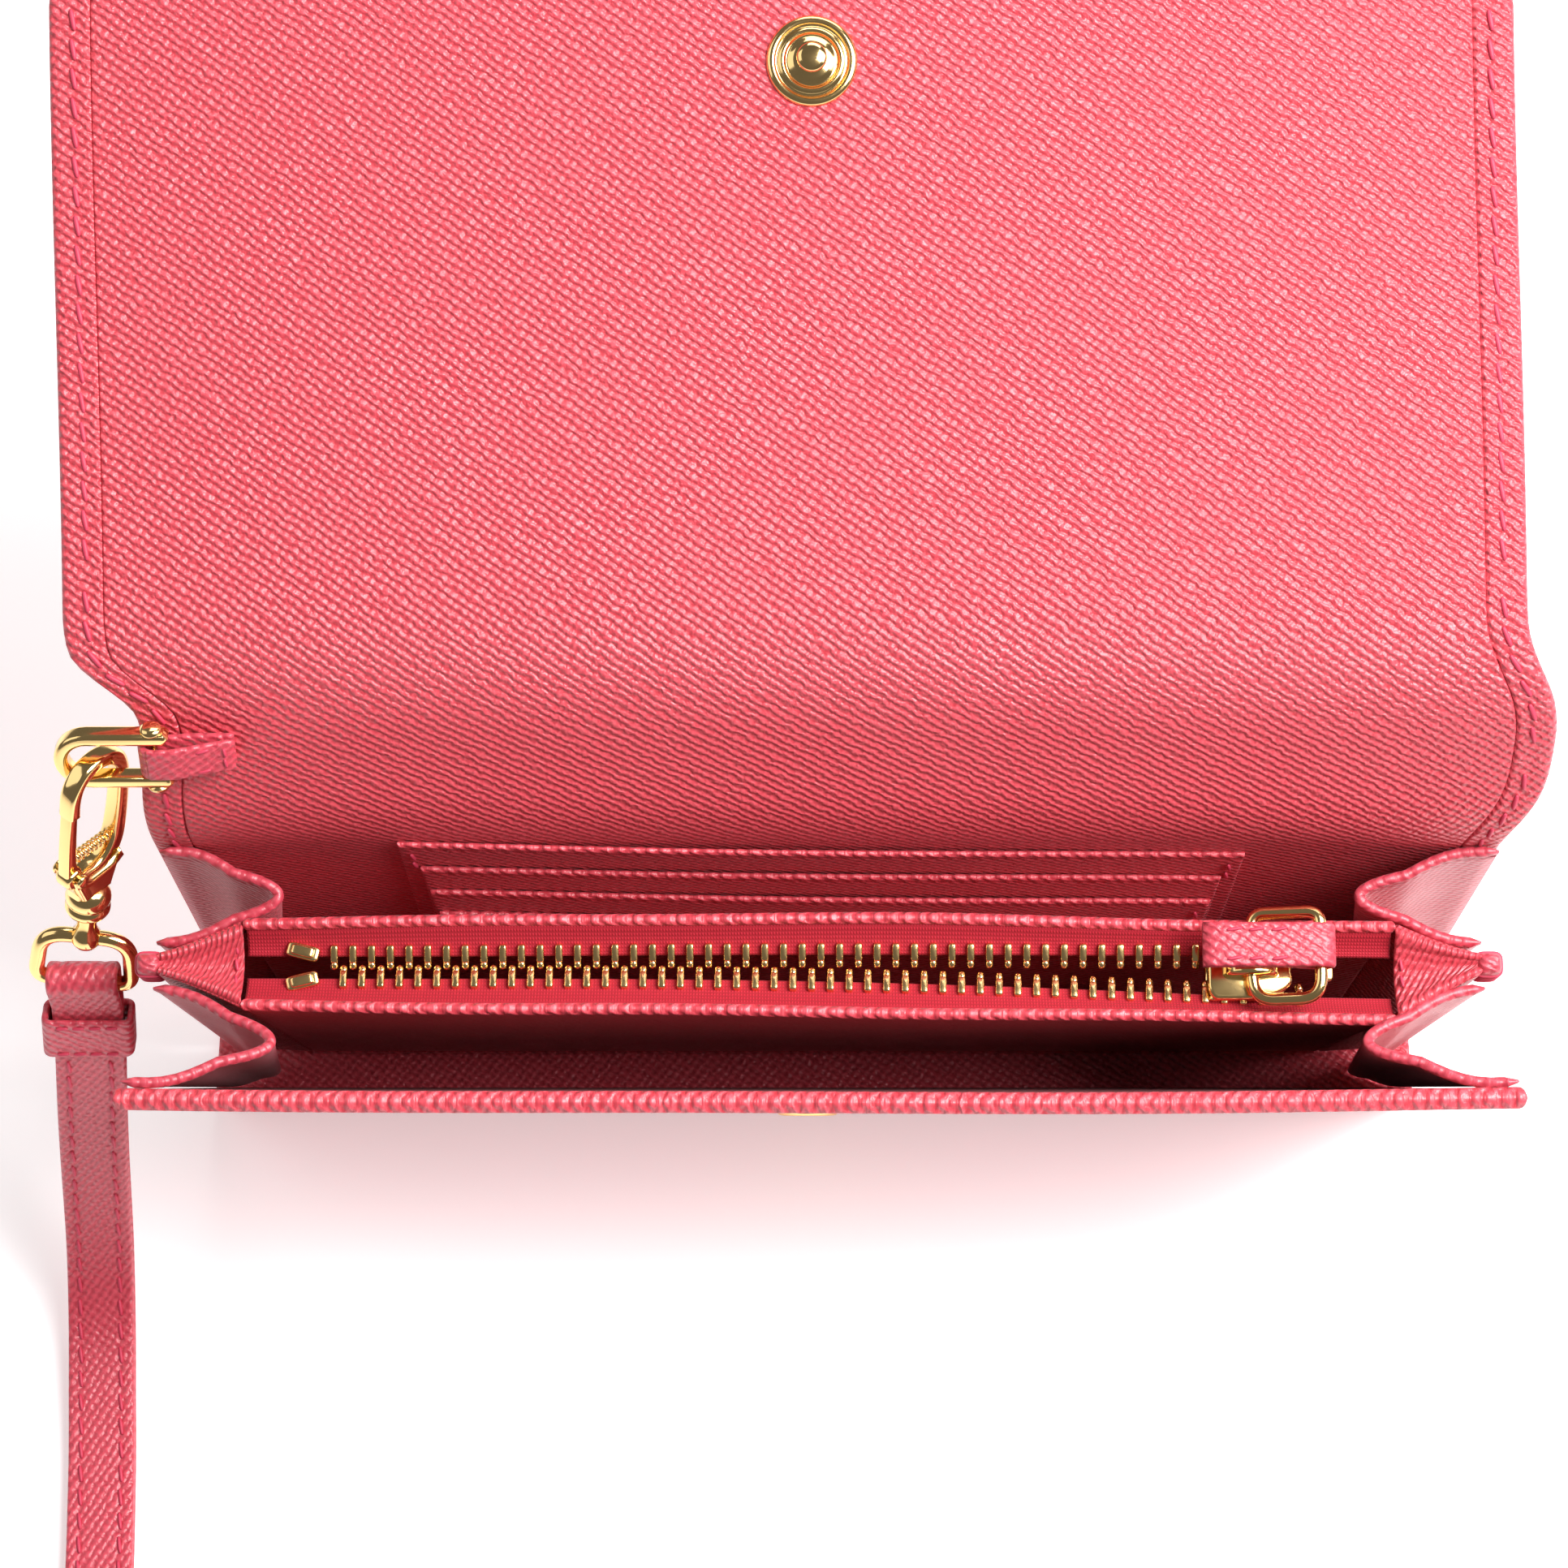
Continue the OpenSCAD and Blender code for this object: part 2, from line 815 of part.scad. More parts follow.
module clasp_gate() {
    color(gold)
        in_hook()
            difference() {
                upright(2) {
                    translate([gate_x, gate_z])
                        circle(1.3);
                    translate([-clasp_w / 2 + 0.1, gate_z])
                        square([1.6, -gate_z - eye_drop - 1.2]);
                }
                translate([gate_x, 3, gate_z])
                    rotate([90, 0, 0])
                        cylinder(r = 0.73, h = 6);
            }
}

module gate_rivet() {
    color(gold)
        in_hook()
            translate([gate_x, 2.1, gate_z])
                rotate([90, 0, 0])
                    cylinder(r = 0.7, h = 4.2);
}

// Small coil that presses the gate shut, shown as its envelope
module gate_spring() {
    color(gold)
        in_hook()
            translate([-clasp_w / 2 + 1.75, 0, gate_z + 2.3])
                rotate([0, 90, 0])
                    difference() {
                        cylinder(r = 0.8, h = clasp_w - hook_wall - 1.8);
                        translate([0, 0, -1])
                            cylinder(r = 0.4, h = clasp_w);
                    }
}

// ---- Swivel and strap ring ----

module swivel_post() {
    color(gold)
        in_clasp() {
            translate([0, 0, bar_top + ring_bar / 2])
                cylinder(r = 1.2, h = collar_end + 2.8 - bar_top - ring_bar / 2);
            translate([0, 0, collar_end + 1.7])
                cylinder(r = 1.85, h = 1.3);
        }
}

module rounded(w, h, r) {
    square([w - 2 * r, h], center = true);
    square([w, h - 2 * r], center = true);
    for (x = [-1, 1])
        for (y = [-1, 1])
            translate([x * (w / 2 - r), y * (h / 2 - r)])
                circle(r);
}

module strap_ring() {
    ring_h = bar_top - bar_low + ring_bar;
    color(gold)
        in_clasp()
            translate([0, 0, (bar_top + bar_low) / 2])
                upright(ring_bar)
                    difference() {
                        rounded(strap_ring_w, ring_h, 2.4);
                        rounded(strap_ring_w - 2 * ring_bar, ring_h - 2 * ring_bar, 0.4);
                    }
}

// ---- Strap ----

// The strap is one loop laid double; the upper layer also wraps the bar of its ring
module strap_upper() {
    loop_r = 2.5;
    color(leather) {
        difference() {
            union() {
                in_clasp()
                    translate([-strap_w / 2, 0, bar_low])
                        rotate([0, 90, 0])
                            cylinder(r = loop_r, h = strap_w);
                strip(concat([strap_ring_at + [0, -1.1, -2.2]], strap_path), strap_w, strap_t, strap_t / 2 + 0.02);
            }
            in_clasp()
                translate([-strap_w, 0, bar_low])
                    rotate([0, 90, 0])
                        cylinder(r = ring_bar / 2 * sqrt(2) + 0.05, h = 2 * strap_w);
        }
    }
}

module strap_lower() {
    color(leather)
        strip(strap_path, strap_w, strap_t, -strap_t / 2 - 0.02);
}

// Keeper band sewn round both layers below the ring
module strap_keeper() {
    band_t = 0.8;
    from = strap_path[0];
    to = strap_path[1];
    lean = atan2(to[1] - from[1], to[2] - from[2]);
    high = 7;
    color(leather)
        translate((from + to) / 2)
            rotate([-lean - 180, 0, 0])
                difference() {
                    cube([strap_w + 2 * band_t + 0.6, 2 * strap_t + 2 * band_t + 0.6, high], center = true);
                    cube([strap_w + 0.4, 2 * strap_t + 0.5, high + 2], center = true);
                }
}

base_panel();
rear_outer();
rear_board();
rear_lining();
card_slot_back();
card_slot_upper();
card_slot_middle();
card_slot_lower();
spine_outer();
spine_lining();
rear_fold_strip();
ring_tab();
flap_outer();
flap_board();
flap_lining();
flap_fold_strip();
snap_stud();
snap_stud_rivet();
pocket_rear_wall();
pocket_front_wall();
pocket_seam();
pocket_fold_strip();
pocket_end_left();
pocket_end_right();
bar_tack_left();
bar_tack_right();
zip_tape_rear();
zip_tape_front();
zip_teeth_rear();
zip_teeth_front();
zip_top_stops();
zip_bottom_stop();
gusset_rear_left();
gusset_rear_right();
gusset_front_left();
gusset_front_right();
front_outer();
front_board();
front_lining();
front_edge_roll();
front_fold_strip();
snap_socket();
snap_socket_rivet();
slider_body();
puller_loop();
pull_tab();
d_ring();
d_ring_pin();
clasp_body();
clasp_gate();
gate_rivet();
gate_spring();
swivel_post();
strap_ring();
strap_upper();
strap_lower();
strap_keeper();
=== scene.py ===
import json
import math

import bpy
import numpy as np
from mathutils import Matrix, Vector


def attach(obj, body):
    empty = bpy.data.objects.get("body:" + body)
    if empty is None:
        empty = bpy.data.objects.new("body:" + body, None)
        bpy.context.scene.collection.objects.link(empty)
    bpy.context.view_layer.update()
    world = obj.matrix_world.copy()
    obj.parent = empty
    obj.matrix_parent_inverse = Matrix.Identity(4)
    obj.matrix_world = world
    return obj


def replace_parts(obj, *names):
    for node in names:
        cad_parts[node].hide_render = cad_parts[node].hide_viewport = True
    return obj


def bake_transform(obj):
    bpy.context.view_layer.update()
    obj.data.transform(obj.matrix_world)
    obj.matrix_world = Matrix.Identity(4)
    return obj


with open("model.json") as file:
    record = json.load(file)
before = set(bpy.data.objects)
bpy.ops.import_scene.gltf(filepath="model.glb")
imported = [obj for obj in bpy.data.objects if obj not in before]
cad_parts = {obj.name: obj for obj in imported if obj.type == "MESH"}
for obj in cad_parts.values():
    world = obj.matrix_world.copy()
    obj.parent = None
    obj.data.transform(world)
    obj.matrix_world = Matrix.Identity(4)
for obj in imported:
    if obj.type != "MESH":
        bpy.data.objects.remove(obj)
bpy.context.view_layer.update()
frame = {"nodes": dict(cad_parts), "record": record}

# ---- Sizes in mm, as in the part's source ----
MM = 0.001
BODY_LEFT, BODY_RIGHT = -79.5, 82.5
REAR_LEFT = BODY_LEFT + 2.5
FLAP_HALF = 82.5
BASE_DEPTH, BASE_T = 15.2, 1.6
WALL_Y = BASE_DEPTH / 2 - 1.6
REAR_H, SPINE_H, FLAP_H, FRONT_H, POCKET_H = 84, 23, 83, 77.5, 74
REAR_LEAN, SPINE_LEAN, FLAP_LEAN, POCKET_LEAN, FRONT_LEAN = 7, -22, -65, 13.6, 20.6
HALF_T = 0.9
HEM = 4.7
STITCH_IN = 2.8
SEAM_LIFT = HALF_T - 0.06
POCKET_LEFT, POCKET_RIGHT = BODY_LEFT + 13.5, BODY_RIGHT - 13.5
FRONT_AXIS = (-WALL_Y - HALF_T, BASE_T + 0.2)
POCKET_AXIS = (0, BASE_T + 1)


def turned(y, z, lean):
    a = math.radians(lean)
    return np.array((y * math.cos(a) - z * math.sin(a), y * math.sin(a) + z * math.cos(a)))


REAR_FOLD = np.array((WALL_Y, 0)) + turned(HALF_T, REAR_H, REAR_LEAN)
FLAP_FOLD = REAR_FOLD + turned(0, SPINE_H, SPINE_LEAN)
FLAP_END = FLAP_FOLD + turned(0, FLAP_H, FLAP_LEAN)


def placer(origin, lean):
    """Turns points of a panel's own frame, in mm, into the row frame, in metres."""
    a = math.radians(lean)
    c, s = math.cos(a), math.sin(a)

    def place(points):
        p = np.asarray(points, float)
        return np.stack([p[..., 0], origin[0] + p[..., 1] * c - p[..., 2] * s,
                         origin[1] + p[..., 1] * s + p[..., 2] * c], -1) * MM
    return place


in_rear = placer((WALL_Y, 0), REAR_LEAN)
in_spine = placer(REAR_FOLD, SPINE_LEAN)
in_flap = placer(FLAP_FOLD, FLAP_LEAN)
in_pocket = placer(POCKET_AXIS, POCKET_LEAN)
in_front = placer(FRONT_AXIS, FRONT_LEAN)


# ---- Materials ----

def feed(tree, n, inputs):
    """Gives the sockets of a node their values, or links from other nodes."""
    for socket, source in inputs.items():
        if hasattr(source, "is_output"):
            tree.links.new(source, n.inputs[socket])
        else:
            n.inputs[socket].default_value = source
    return n


def node(tree, kind, inputs=None, **values):
    n = tree.nodes.new(kind)
    for key, value in values.items():
        setattr(n, key, value)
    return feed(tree, n, inputs or {})


def calc(tree, operation, *values):
    """The output of a math node; each value is a number or another node's output."""
    return node(tree, "ShaderNodeMath", dict(enumerate(values)), operation=operation).outputs[0]


def noise(tree, vector, scale, detail, output=0, **more):
    return node(tree, "ShaderNodeTexNoise", {"Vector": vector, "Scale": scale, "Detail": detail,
        **more}).outputs[output]


def stretch(tree, value, low, high, **more):
    """A value's range low to high made into 0 to 1, or into the range given."""
    return node(tree, "ShaderNodeMapRange", {"Value": value, "From Min": low, "From Max": high,
        **more}).outputs[0]


def material(name):
    m = bpy.data.materials.new(name)
    m.use_nodes = True
    return m, m.node_tree, m.node_tree.nodes["Principled BSDF"]


def ridges(tree, along, pitch, phase):
    """Rows of rounded ridges across a coordinate, 0 to 1."""
    angle = calc(tree, "MULTIPLY", along, 2 * math.pi / pitch)
    wave = calc(tree, "SINE", calc(tree, "ADD", angle, phase))
    return calc(tree, "MULTIPLY_ADD", wave, 0.5, 0.5)


GRAIN_PITCH, GRAIN_TURNS = 0.95, (-57, 38)


def cross_grain(name, light, dark, depth=0.00024, roughness=0.43, cross=0.5):
    """Leather pressed with two crossing sets of fine diagonal ridges."""
    m, t, b = material(name)
    uv = node(t, "ShaderNodeUVMap", uv_map="UVMap").outputs[0]
    wander = noise(t, uv, 0.9, 3.0, "Color", Roughness=0.5)
    drift = node(t, "ShaderNodeVectorMath", {0: wander, 1: (0.9, 0.9, 0)}, operation="MULTIPLY")
    bent = node(t, "ShaderNodeVectorMath", {0: uv, 1: drift.outputs[0]}, operation="ADD").outputs[0]
    spun = [node(t, "ShaderNodeVectorRotate", {"Vector": bent, "Angle": math.radians(a)},
        rotation_type="Z_AXIS") for a in GRAIN_TURNS]
    xa, xb = (node(t, "ShaderNodeSeparateXYZ", {0: n.outputs[0]}).outputs[0] for n in spun)
    first = ridges(t, xa, GRAIN_PITCH, 0.0)
    second = ridges(t, xb, GRAIN_PITCH * 1.06, 0.6)
    both = calc(t, "ADD", first, calc(t, "MULTIPLY", second, cross))
    height = calc(t, "MULTIPLY_ADD", noise(t, uv, 3.0, 4.0), 0.35, both)
    tone = stretch(t, height, 0.25, 1.45)
    mix = node(t, "ShaderNodeMix", {"Factor": tone, 6: dark, 7: light}, data_type="RGBA")
    rough = stretch(t, noise(t, uv, 0.06, 2.0), 0.3, 0.7, **{"To Min": roughness - 0.05, "To Max": roughness
        + 0.06})
    bump = node(t, "ShaderNodeBump", {"Height": height, "Strength": 0.8, "Distance": depth})
    feed(t, b, {"Base Color": mix.outputs[2], "Roughness": rough, "Normal": bump.outputs[0],
                "Specular IOR Level": 0.85, "Sheen Weight": 0.08, "Sheen Roughness": 0.5})
    return m


def woven(name, light, dark, across=0.35, along=0.42):
    """Tape woven in fine square cells."""
    m, t, b = material(name)
    uv = node(t, "ShaderNodeUVMap", uv_map="UVMap")
    xyz = node(t, "ShaderNodeSeparateXYZ", {0: uv.outputs[0]})
    warp = ridges(t, xyz.outputs[0], across, 0.0)
    weft = ridges(t, xyz.outputs[1], along, 0.0)
    weave = calc(t, "MULTIPLY", warp, weft)
    mix = node(t, "ShaderNodeMix", {"Factor": weave, 6: dark, 7: light}, data_type="RGBA")
    bump = node(t, "ShaderNodeBump", {"Height": weave, "Strength": 0.7, "Distance": 0.0001})
    feed(t, b, {"Base Color": mix.outputs[2], "Normal": bump.outputs[0], "Roughness": 0.75,
        "Sheen Weight": 0.05})
    return m


def metal(name, colour, roughness):
    """Polished metal with a faint smear in its gloss."""
    m, t, b = material(name)
    smear = noise(t, node(t, "ShaderNodeTexCoord").outputs["Object"], 260.0, 3.0)
    rough = stretch(t, smear, 0.3, 0.7, **{"To Min": roughness, "To Max": roughness + 0.07})
    feed(t, b, {"Base Color": colour, "Metallic": 1.0, "Roughness": rough})
    return m


def plain(name, colour, roughness):
    """A dull surface with a fine speck."""
    m, t, b = material(name)
    speck = noise(t, node(t, "ShaderNodeTexCoord").outputs["Object"], 900.0, 2.0)
    bump = node(t, "ShaderNodeBump", {"Height": speck, "Strength": 0.2, "Distance": 0.00005})
    feed(t, b, {"Base Color": colour, "Roughness": roughness, "Normal": bump.outputs[0]})
    return m


ROSE = (0.74, 0.070, 0.100, 1)
ROSE_DEEP = (0.55, 0.027, 0.046, 1)
outer_leather = cross_grain("rose cross-grained leather", ROSE, ROSE_DEEP)
lining_leather = cross_grain("rose cross-grained lining", ROSE, ROSE_DEEP)
# Painted shade: the front compartment's lining is the same rose leather as the other linings, coloured far
# darker to stand in for the shade deep inside the compartment.
shade_darkened_lining = cross_grain("rose lining of the front compartment", (0.26, 0.016, 0.026, 1),
    (0.16, 0.007, 0.012, 1))
gusset_leather = cross_grain("rose gusset leather", (0.62, 0.060, 0.095, 1), (0.46, 0.026, 0.048, 1),
    depth=0.0001)
strap_leather = cross_grain("rose strap leather", (0.68, 0.062, 0.098, 1), (0.48, 0.026, 0.050, 1),
    depth=0.00013)
thread = plain("rose thread", (0.60, 0.045, 0.095, 1), 0.55)
tape_cloth = woven("red zip tape", (0.56, 0.008, 0.030, 1), (0.36, 0.003, 0.016, 1))
gold = metal("polished gold", (0.93, 0.64, 0.27, 1), 0.10)
gold_soft = metal("gold plated zip", (0.88, 0.60, 0.26, 1), 0.17)
board = plain("stiffening board", (0.62, 0.56, 0.48, 1), 0.8)


# Each finish with the slot that it goes with
HARDWARE, SLIDER_GOLD, ZIP_GOLD = (gold, "gold_hardware"), (gold, "gold_zip"), (gold_soft, "gold_zip")
OUTER, LINING = (outer_leather, "outer_leather"), (lining_leather, "lining_leather")
GUSSET, STRAP = (gusset_leather, "gusset_leather"), (strap_leather, "strap_leather")


# ---- Mesh helpers ----

def piece_name(name):
    return "look_" + name.replace(" ", "_")


def add_mesh(name, points, faces, mat, uvs=None):
    """A mesh object from points in metres; uvs are one pair in mm for each point."""
    name = piece_name(name)
    mesh = bpy.data.meshes.new(name)
    mesh.from_pydata([tuple(p) for p in points], [], [tuple(int(i) for i in f) for f in faces])
    mesh.update()
    layer = mesh.uv_layers.new(name="UVMap")
    if uvs is None:
        p = np.asarray(points) / MM
        uvs = np.stack([p[:, 0], p[:, 1] + p[:, 2]], -1)
    corners = np.zeros(len(mesh.loops), np.int32)
    mesh.loops.foreach_get("vertex_index", corners)
    layer.data.foreach_set("uv", np.asarray(uvs, np.float32)[corners].ravel())
    o = bpy.data.objects.new(name, mesh)
    bpy.context.scene.collection.objects.link(o)
    mesh.materials.append(mat)
    mesh.polygons.foreach_set("use_smooth", [True] * len(mesh.polygons))
    return o


def arc_lengths(grid, axis):
    steps = np.linalg.norm(np.diff(grid, axis=axis), axis=-1)
    total = np.cumsum(steps, axis=axis)
    first = np.zeros_like(np.take(total, [0], axis=axis))
    return np.concatenate([first, total], axis=axis)


def grid_normals(grid):
    du = np.gradient(grid, axis=1)
    dv = np.gradient(grid, axis=0)
    n = np.cross(du, dv)
    return n / np.maximum(np.linalg.norm(n, axis=-1, keepdims=True), 1e-9)


def shell(name, grid, thick, mat, slot, rim=None, relief=None, ends=(1, 1, 1, 1), uvs=None):
    """A closed sheet of leather round a grid of middle points in mm (rows, columns).
    rim is the radius of its rounded edges; ends says which of bottom, top, left and right are rounded;
    relief takes the distances to the left, right, bottom and top edge and returns how far the front and
    the back face are lifted, in mm."""
    grid = np.asarray(grid, float)
    rows, cols = grid.shape[:2]
    rim = thick / 2 if rim is None else rim
    n = grid_normals(grid)
    v, u = arc_lengths(grid, 0), arc_lengths(grid, 1)
    far = 1e3
    left, right = (u if ends[2] else u + far), ((u[:, -1:] - u) if ends[3] else u + far)
    low, high = (v if ends[0] else v + far), ((v[-1:] - v) if ends[1] else v + far)
    d = np.minimum(np.minimum(left, right), np.minimum(low, high))
    half = np.full(d.shape, thick / 2)
    near = d < rim
    half[near] = thick / 2 * np.sqrt(np.maximum(0, 1 - (1 - d[near] / rim) ** 2))
    half = np.maximum(half, 0.02)
    front = back = 0
    if relief is not None:
        front, back = relief(left, right, low, high)
    a = grid + n * (half + front)[..., None]
    b = grid - n * (half + back)[..., None]
    points = np.concatenate([a.reshape(-1, 3), b.reshape(-1, 3)]) * MM
    k = rows * cols
    idx = np.arange(k).reshape(rows, cols)
    faces = []
    for r in range(rows - 1):
        for c in range(cols - 1):
            q = (idx[r, c], idx[r, c + 1], idx[r + 1, c + 1], idx[r + 1, c])
            faces.append(q)
            faces.append(tuple(i + k for i in reversed(q)))
    if uvs is None:
        flat = np.stack([u + (0 if cols < 2 else grid[:, :1, 0]), v], -1).reshape(-1, 2)
    else:
        flat = np.asarray(uvs, float).reshape(-1, 2)
    flat = np.concatenate([flat, flat])
    borders = ((idx[0, :], ends[0]), (idx[-1, ::-1], ends[1]), (idx[::-1, 0], ends[2]), (idx[:, -1], ends[3]))
    for border, is_round in borders:
        near, away = np.array(border), np.array(border) + k
        if not is_round:
            # A cut end has its own points, so the shading runs on across the cut
            count = len(points)
            points = np.concatenate([points, points[near], points[away]])
            flat = np.concatenate([flat, flat[near], flat[away]])
            near, away = count + np.arange(len(border)), count + len(border) + np.arange(len(border))
        for i in range(len(border) - 1):
            faces.append((near[i + 1], near[i], away[i], away[i + 1]))
    return add_mesh(name, points, faces, mat, flat)


def stops(low, high, near, step):
    """Grid lines from low to high, close together near both ends."""
    inner = [d for d in near if d < (high - low) / 2]
    a, b = low + inner[-1], high - inner[-1]
    count = max(2, int(math.ceil((b - a) / step)))
    return np.array([low + d for d in inner[:-1]] + list(np.linspace(a, b, count + 1))
        + [high - d for d in inner[-2::-1]])


def grid_uv(columns, rows, shift=0.0):
    """Leather coordinates in mm for a grid with these columns and rows."""
    x = np.repeat(np.asarray(columns)[None], len(rows), 0)
    y = np.repeat(np.asarray(rows)[:, None], len(columns), 1)
    return np.stack([x, y + shift], -1)


def row_uv(rows, across):
    """Leather coordinates in mm: the way along each row, and the rows' places across."""
    s = arc_lengths(rows, 1)
    return np.stack([s, np.repeat(across[:, None], s.shape[1], 1)], -1)


def facing(place, direction):
    """A direction of a panel's own frame in the row frame."""
    return place(direction) - place((0, 0, 0))


def at(place, x, y, z):
    """Points of a panel's own frame, in mm in the row frame; numbers and arrays can be mixed."""
    return place(np.stack(np.broadcast_arrays(x, y, z), -1)) / MM


def mirrored(half, middle=()):
    """A closed outline from one half, with y below 0, and what lies on the line between the halves."""
    return list(half) + list(middle) + [(x, -y, r) for x, y, r in half[::-1]]


def about(axis, angle):
    """A turn about one of the row frame's axes, as a matrix."""
    c, s = math.cos(angle), math.sin(angle)
    return np.array({"x": [[1, 0, 0], [0, c, -s], [0, s, c]], "y": [[c, 0, s], [0, 1, 0], [-s, 0, c]],
                     "z": [[c, -s, 0], [s, c, 0], [0, 0, 1]]}[axis])


def settle(objects):
    """Applies each piece's modifiers."""
    for o in objects:
        for modifier in list(o.modifiers):
            with bpy.context.temp_override(object=o, active_object=o):
                bpy.ops.object.modifier_apply(modifier=modifier.name)


# Distances from an edge where grid lines crowd together to round it
RIM_STOPS = (0, 0.04, 0.14, 0.3, 0.5, 0.75, 1.1)
TAB_STOPS = (0, 0.04, 0.14, 0.3, 0.6)
STRIP_STOPS = (0, 0.05, 0.2, 0.5)
LINING_STOPS = (0, 0.05, 0.15, 0.3, 0.6, 1.2)
HEM_STOPS = (0, 0.04, 0.14, 0.3, 0.5, 0.8, 1.4, 2.1, 2.8, 3.5, 4.1, 4.45, 4.6, 4.75, 4.95, 5.3, 6.2, 7.5)


def smooth_step(x):
    x = np.clip(x, 0, 1)
    return x * x * (3 - 2 * x)


def join(name, objects):
    """Several pieces with one material made into one object."""
    bpy.context.view_layer.update()
    with bpy.context.temp_override(active_object=objects[0], selected_editable_objects=objects,
            selected_objects=objects, object=objects[0]):
        bpy.ops.object.join()
    objects[0].name = piece_name(name)
    return objects[0]


def scatter(name, template, places, mat, slot):
    """Copies of one small mesh at places, each a 3 x 4 transform in mm."""
    base, quads = template
    points, faces = [], []
    for i, m in enumerate(places):
        points.append(base @ m[:, :3].T + m[:, 3])
        faces.extend(tuple(k + i * len(base) for k in q) for q in quads)
    return add_mesh(name, np.concatenate(points) * MM, faces, mat)


def band_faces(first, second, sides):
    """Quads between two rings of points, which start at two places of the list."""
    quads = []
    for k in range(sides):
        m = (k + 1) % sides
        quads.append((first + k, first + m, second + m, second + k))
    return quads


def ball_faces(rings, sides):
    """Faces over a first point, rings - 1 rings of points and a last point."""
    last = 1 + (rings - 1) * sides
    faces = []
    for k in range(sides):
        m = (k + 1) % sides
        faces += [(0, 1 + m, 1 + k), (last, last - sides + k, last - sides + m)]
    for i in range(rings - 2):
        faces += band_faces(1 + i * sides, 1 + (i + 1) * sides, sides)
    return faces


def pill(length, width, height, rings=6, sides=8):
    """A rounded stitch or tooth tip, long in x."""
    points = [(-length / 2, 0, 0)]
    for i in range(1, rings):
        a = math.pi * i / rings
        r = math.sin(a) ** 0.55
        for k in range(sides):
            b = 2 * math.pi * k / sides
            points.append((-math.cos(a) * length / 2, r * width / 2 * math.cos(b), r * height / 2
                * math.sin(b)))
    points.append((length / 2, 0, 0))
    return np.array(points), ball_faces(rings, sides)


def along(path, pitch, start=0.0, end=0.0):
    """Points and directions every pitch along a line of points in mm."""
    path = np.asarray(path, float)
    s = arc_lengths(path[None], 1)[0]
    count = max(1, int((s[-1] - start - end) / pitch))
    at = start + (s[-1] - start - end - (count - 1) * pitch) / 2 + np.arange(count) * pitch
    p = np.stack([np.interp(at, s, path[:, k]) for k in range(3)], -1)
    q = np.stack([np.interp(at + 0.3, s, path[:, k]) for k in range(3)], -1)
    r = np.stack([np.interp(at - 0.3, s, path[:, k]) for k in range(3)], -1)
    d = q - r
    return p, d / np.linalg.norm(d, axis=-1, keepdims=True)


def stitches(name, path, up, slot, pitch=3.3, length=2.5, width=0.62, slant=9, start=2, end=2, sink=0.05):
    """A row of slanted stitches along a path in mm; up points out of the leather, one vector or one each."""
    p, d = along(path, pitch, start, end)
    ups = np.broadcast_to(np.asarray(up, float), p.shape)
    places = []
    for point, way, out in zip(p, d, ups):
        out = out - way * np.dot(out, way)
        out /= np.linalg.norm(out)
        side = np.cross(out, way)
        a = math.radians(slant)
        x = way * math.cos(a) + side * math.sin(a)
        y = np.cross(out, x)
        places.append(np.column_stack([x, y, out, point + out * sink]))
    return scatter(name, pill(length, width, 0.5), places, thread, slot)


def lathe(name, profile, centre, axis, mat, slot, sides=56):
    """A turned piece: profile is (radius, height) in mm, centre and axis in the row frame in mm."""
    w = np.asarray(axis, float) / np.linalg.norm(axis)
    u = np.cross(w, (1, 0, 0) if abs(w[0]) < 0.8 else (0, 1, 0))
    u /= np.linalg.norm(u)
    v = np.cross(w, u)
    points, faces = [], []
    for r, h in profile:
        for k in range(sides):
            a = 2 * math.pi * k / sides
            points.append(centre + w * h + (u * math.cos(a) + v * math.sin(a)) * max(r, 1e-3))
    for i in range(len(profile) - 1):
        faces += band_faces(i * sides, (i + 1) * sides, sides)
    faces.append(tuple(range(sides))[::-1])
    faces.append(tuple(range((len(profile) - 1) * sides, len(profile) * sides)))
    return add_mesh(name, np.array(points) * MM, faces, mat)


def round_corners(points, radius, steps=5):
    """A smoother closed outline: each corner (x, y, optional radius) becomes an arc."""
    out = []
    n = len(points)
    for i in range(n):
        p = np.array(points[i][:2], float)
        r = points[i][2] if len(points[i]) > 2 else radius
        a, b = np.array(points[i - 1][:2], float), np.array(points[(i + 1) % n][:2], float)
        da, db = a - p, b - p
        la, lb = np.linalg.norm(da), np.linalg.norm(db)
        r = min(r, la * 0.49, lb * 0.49)
        s, e = p + da / la * r, p + db / lb * r
        for k in range(steps + 1):
            t = k / steps
            out.append((1 - t) ** 2 * s + 2 * t * (1 - t) * p + t * t * e)
    return out


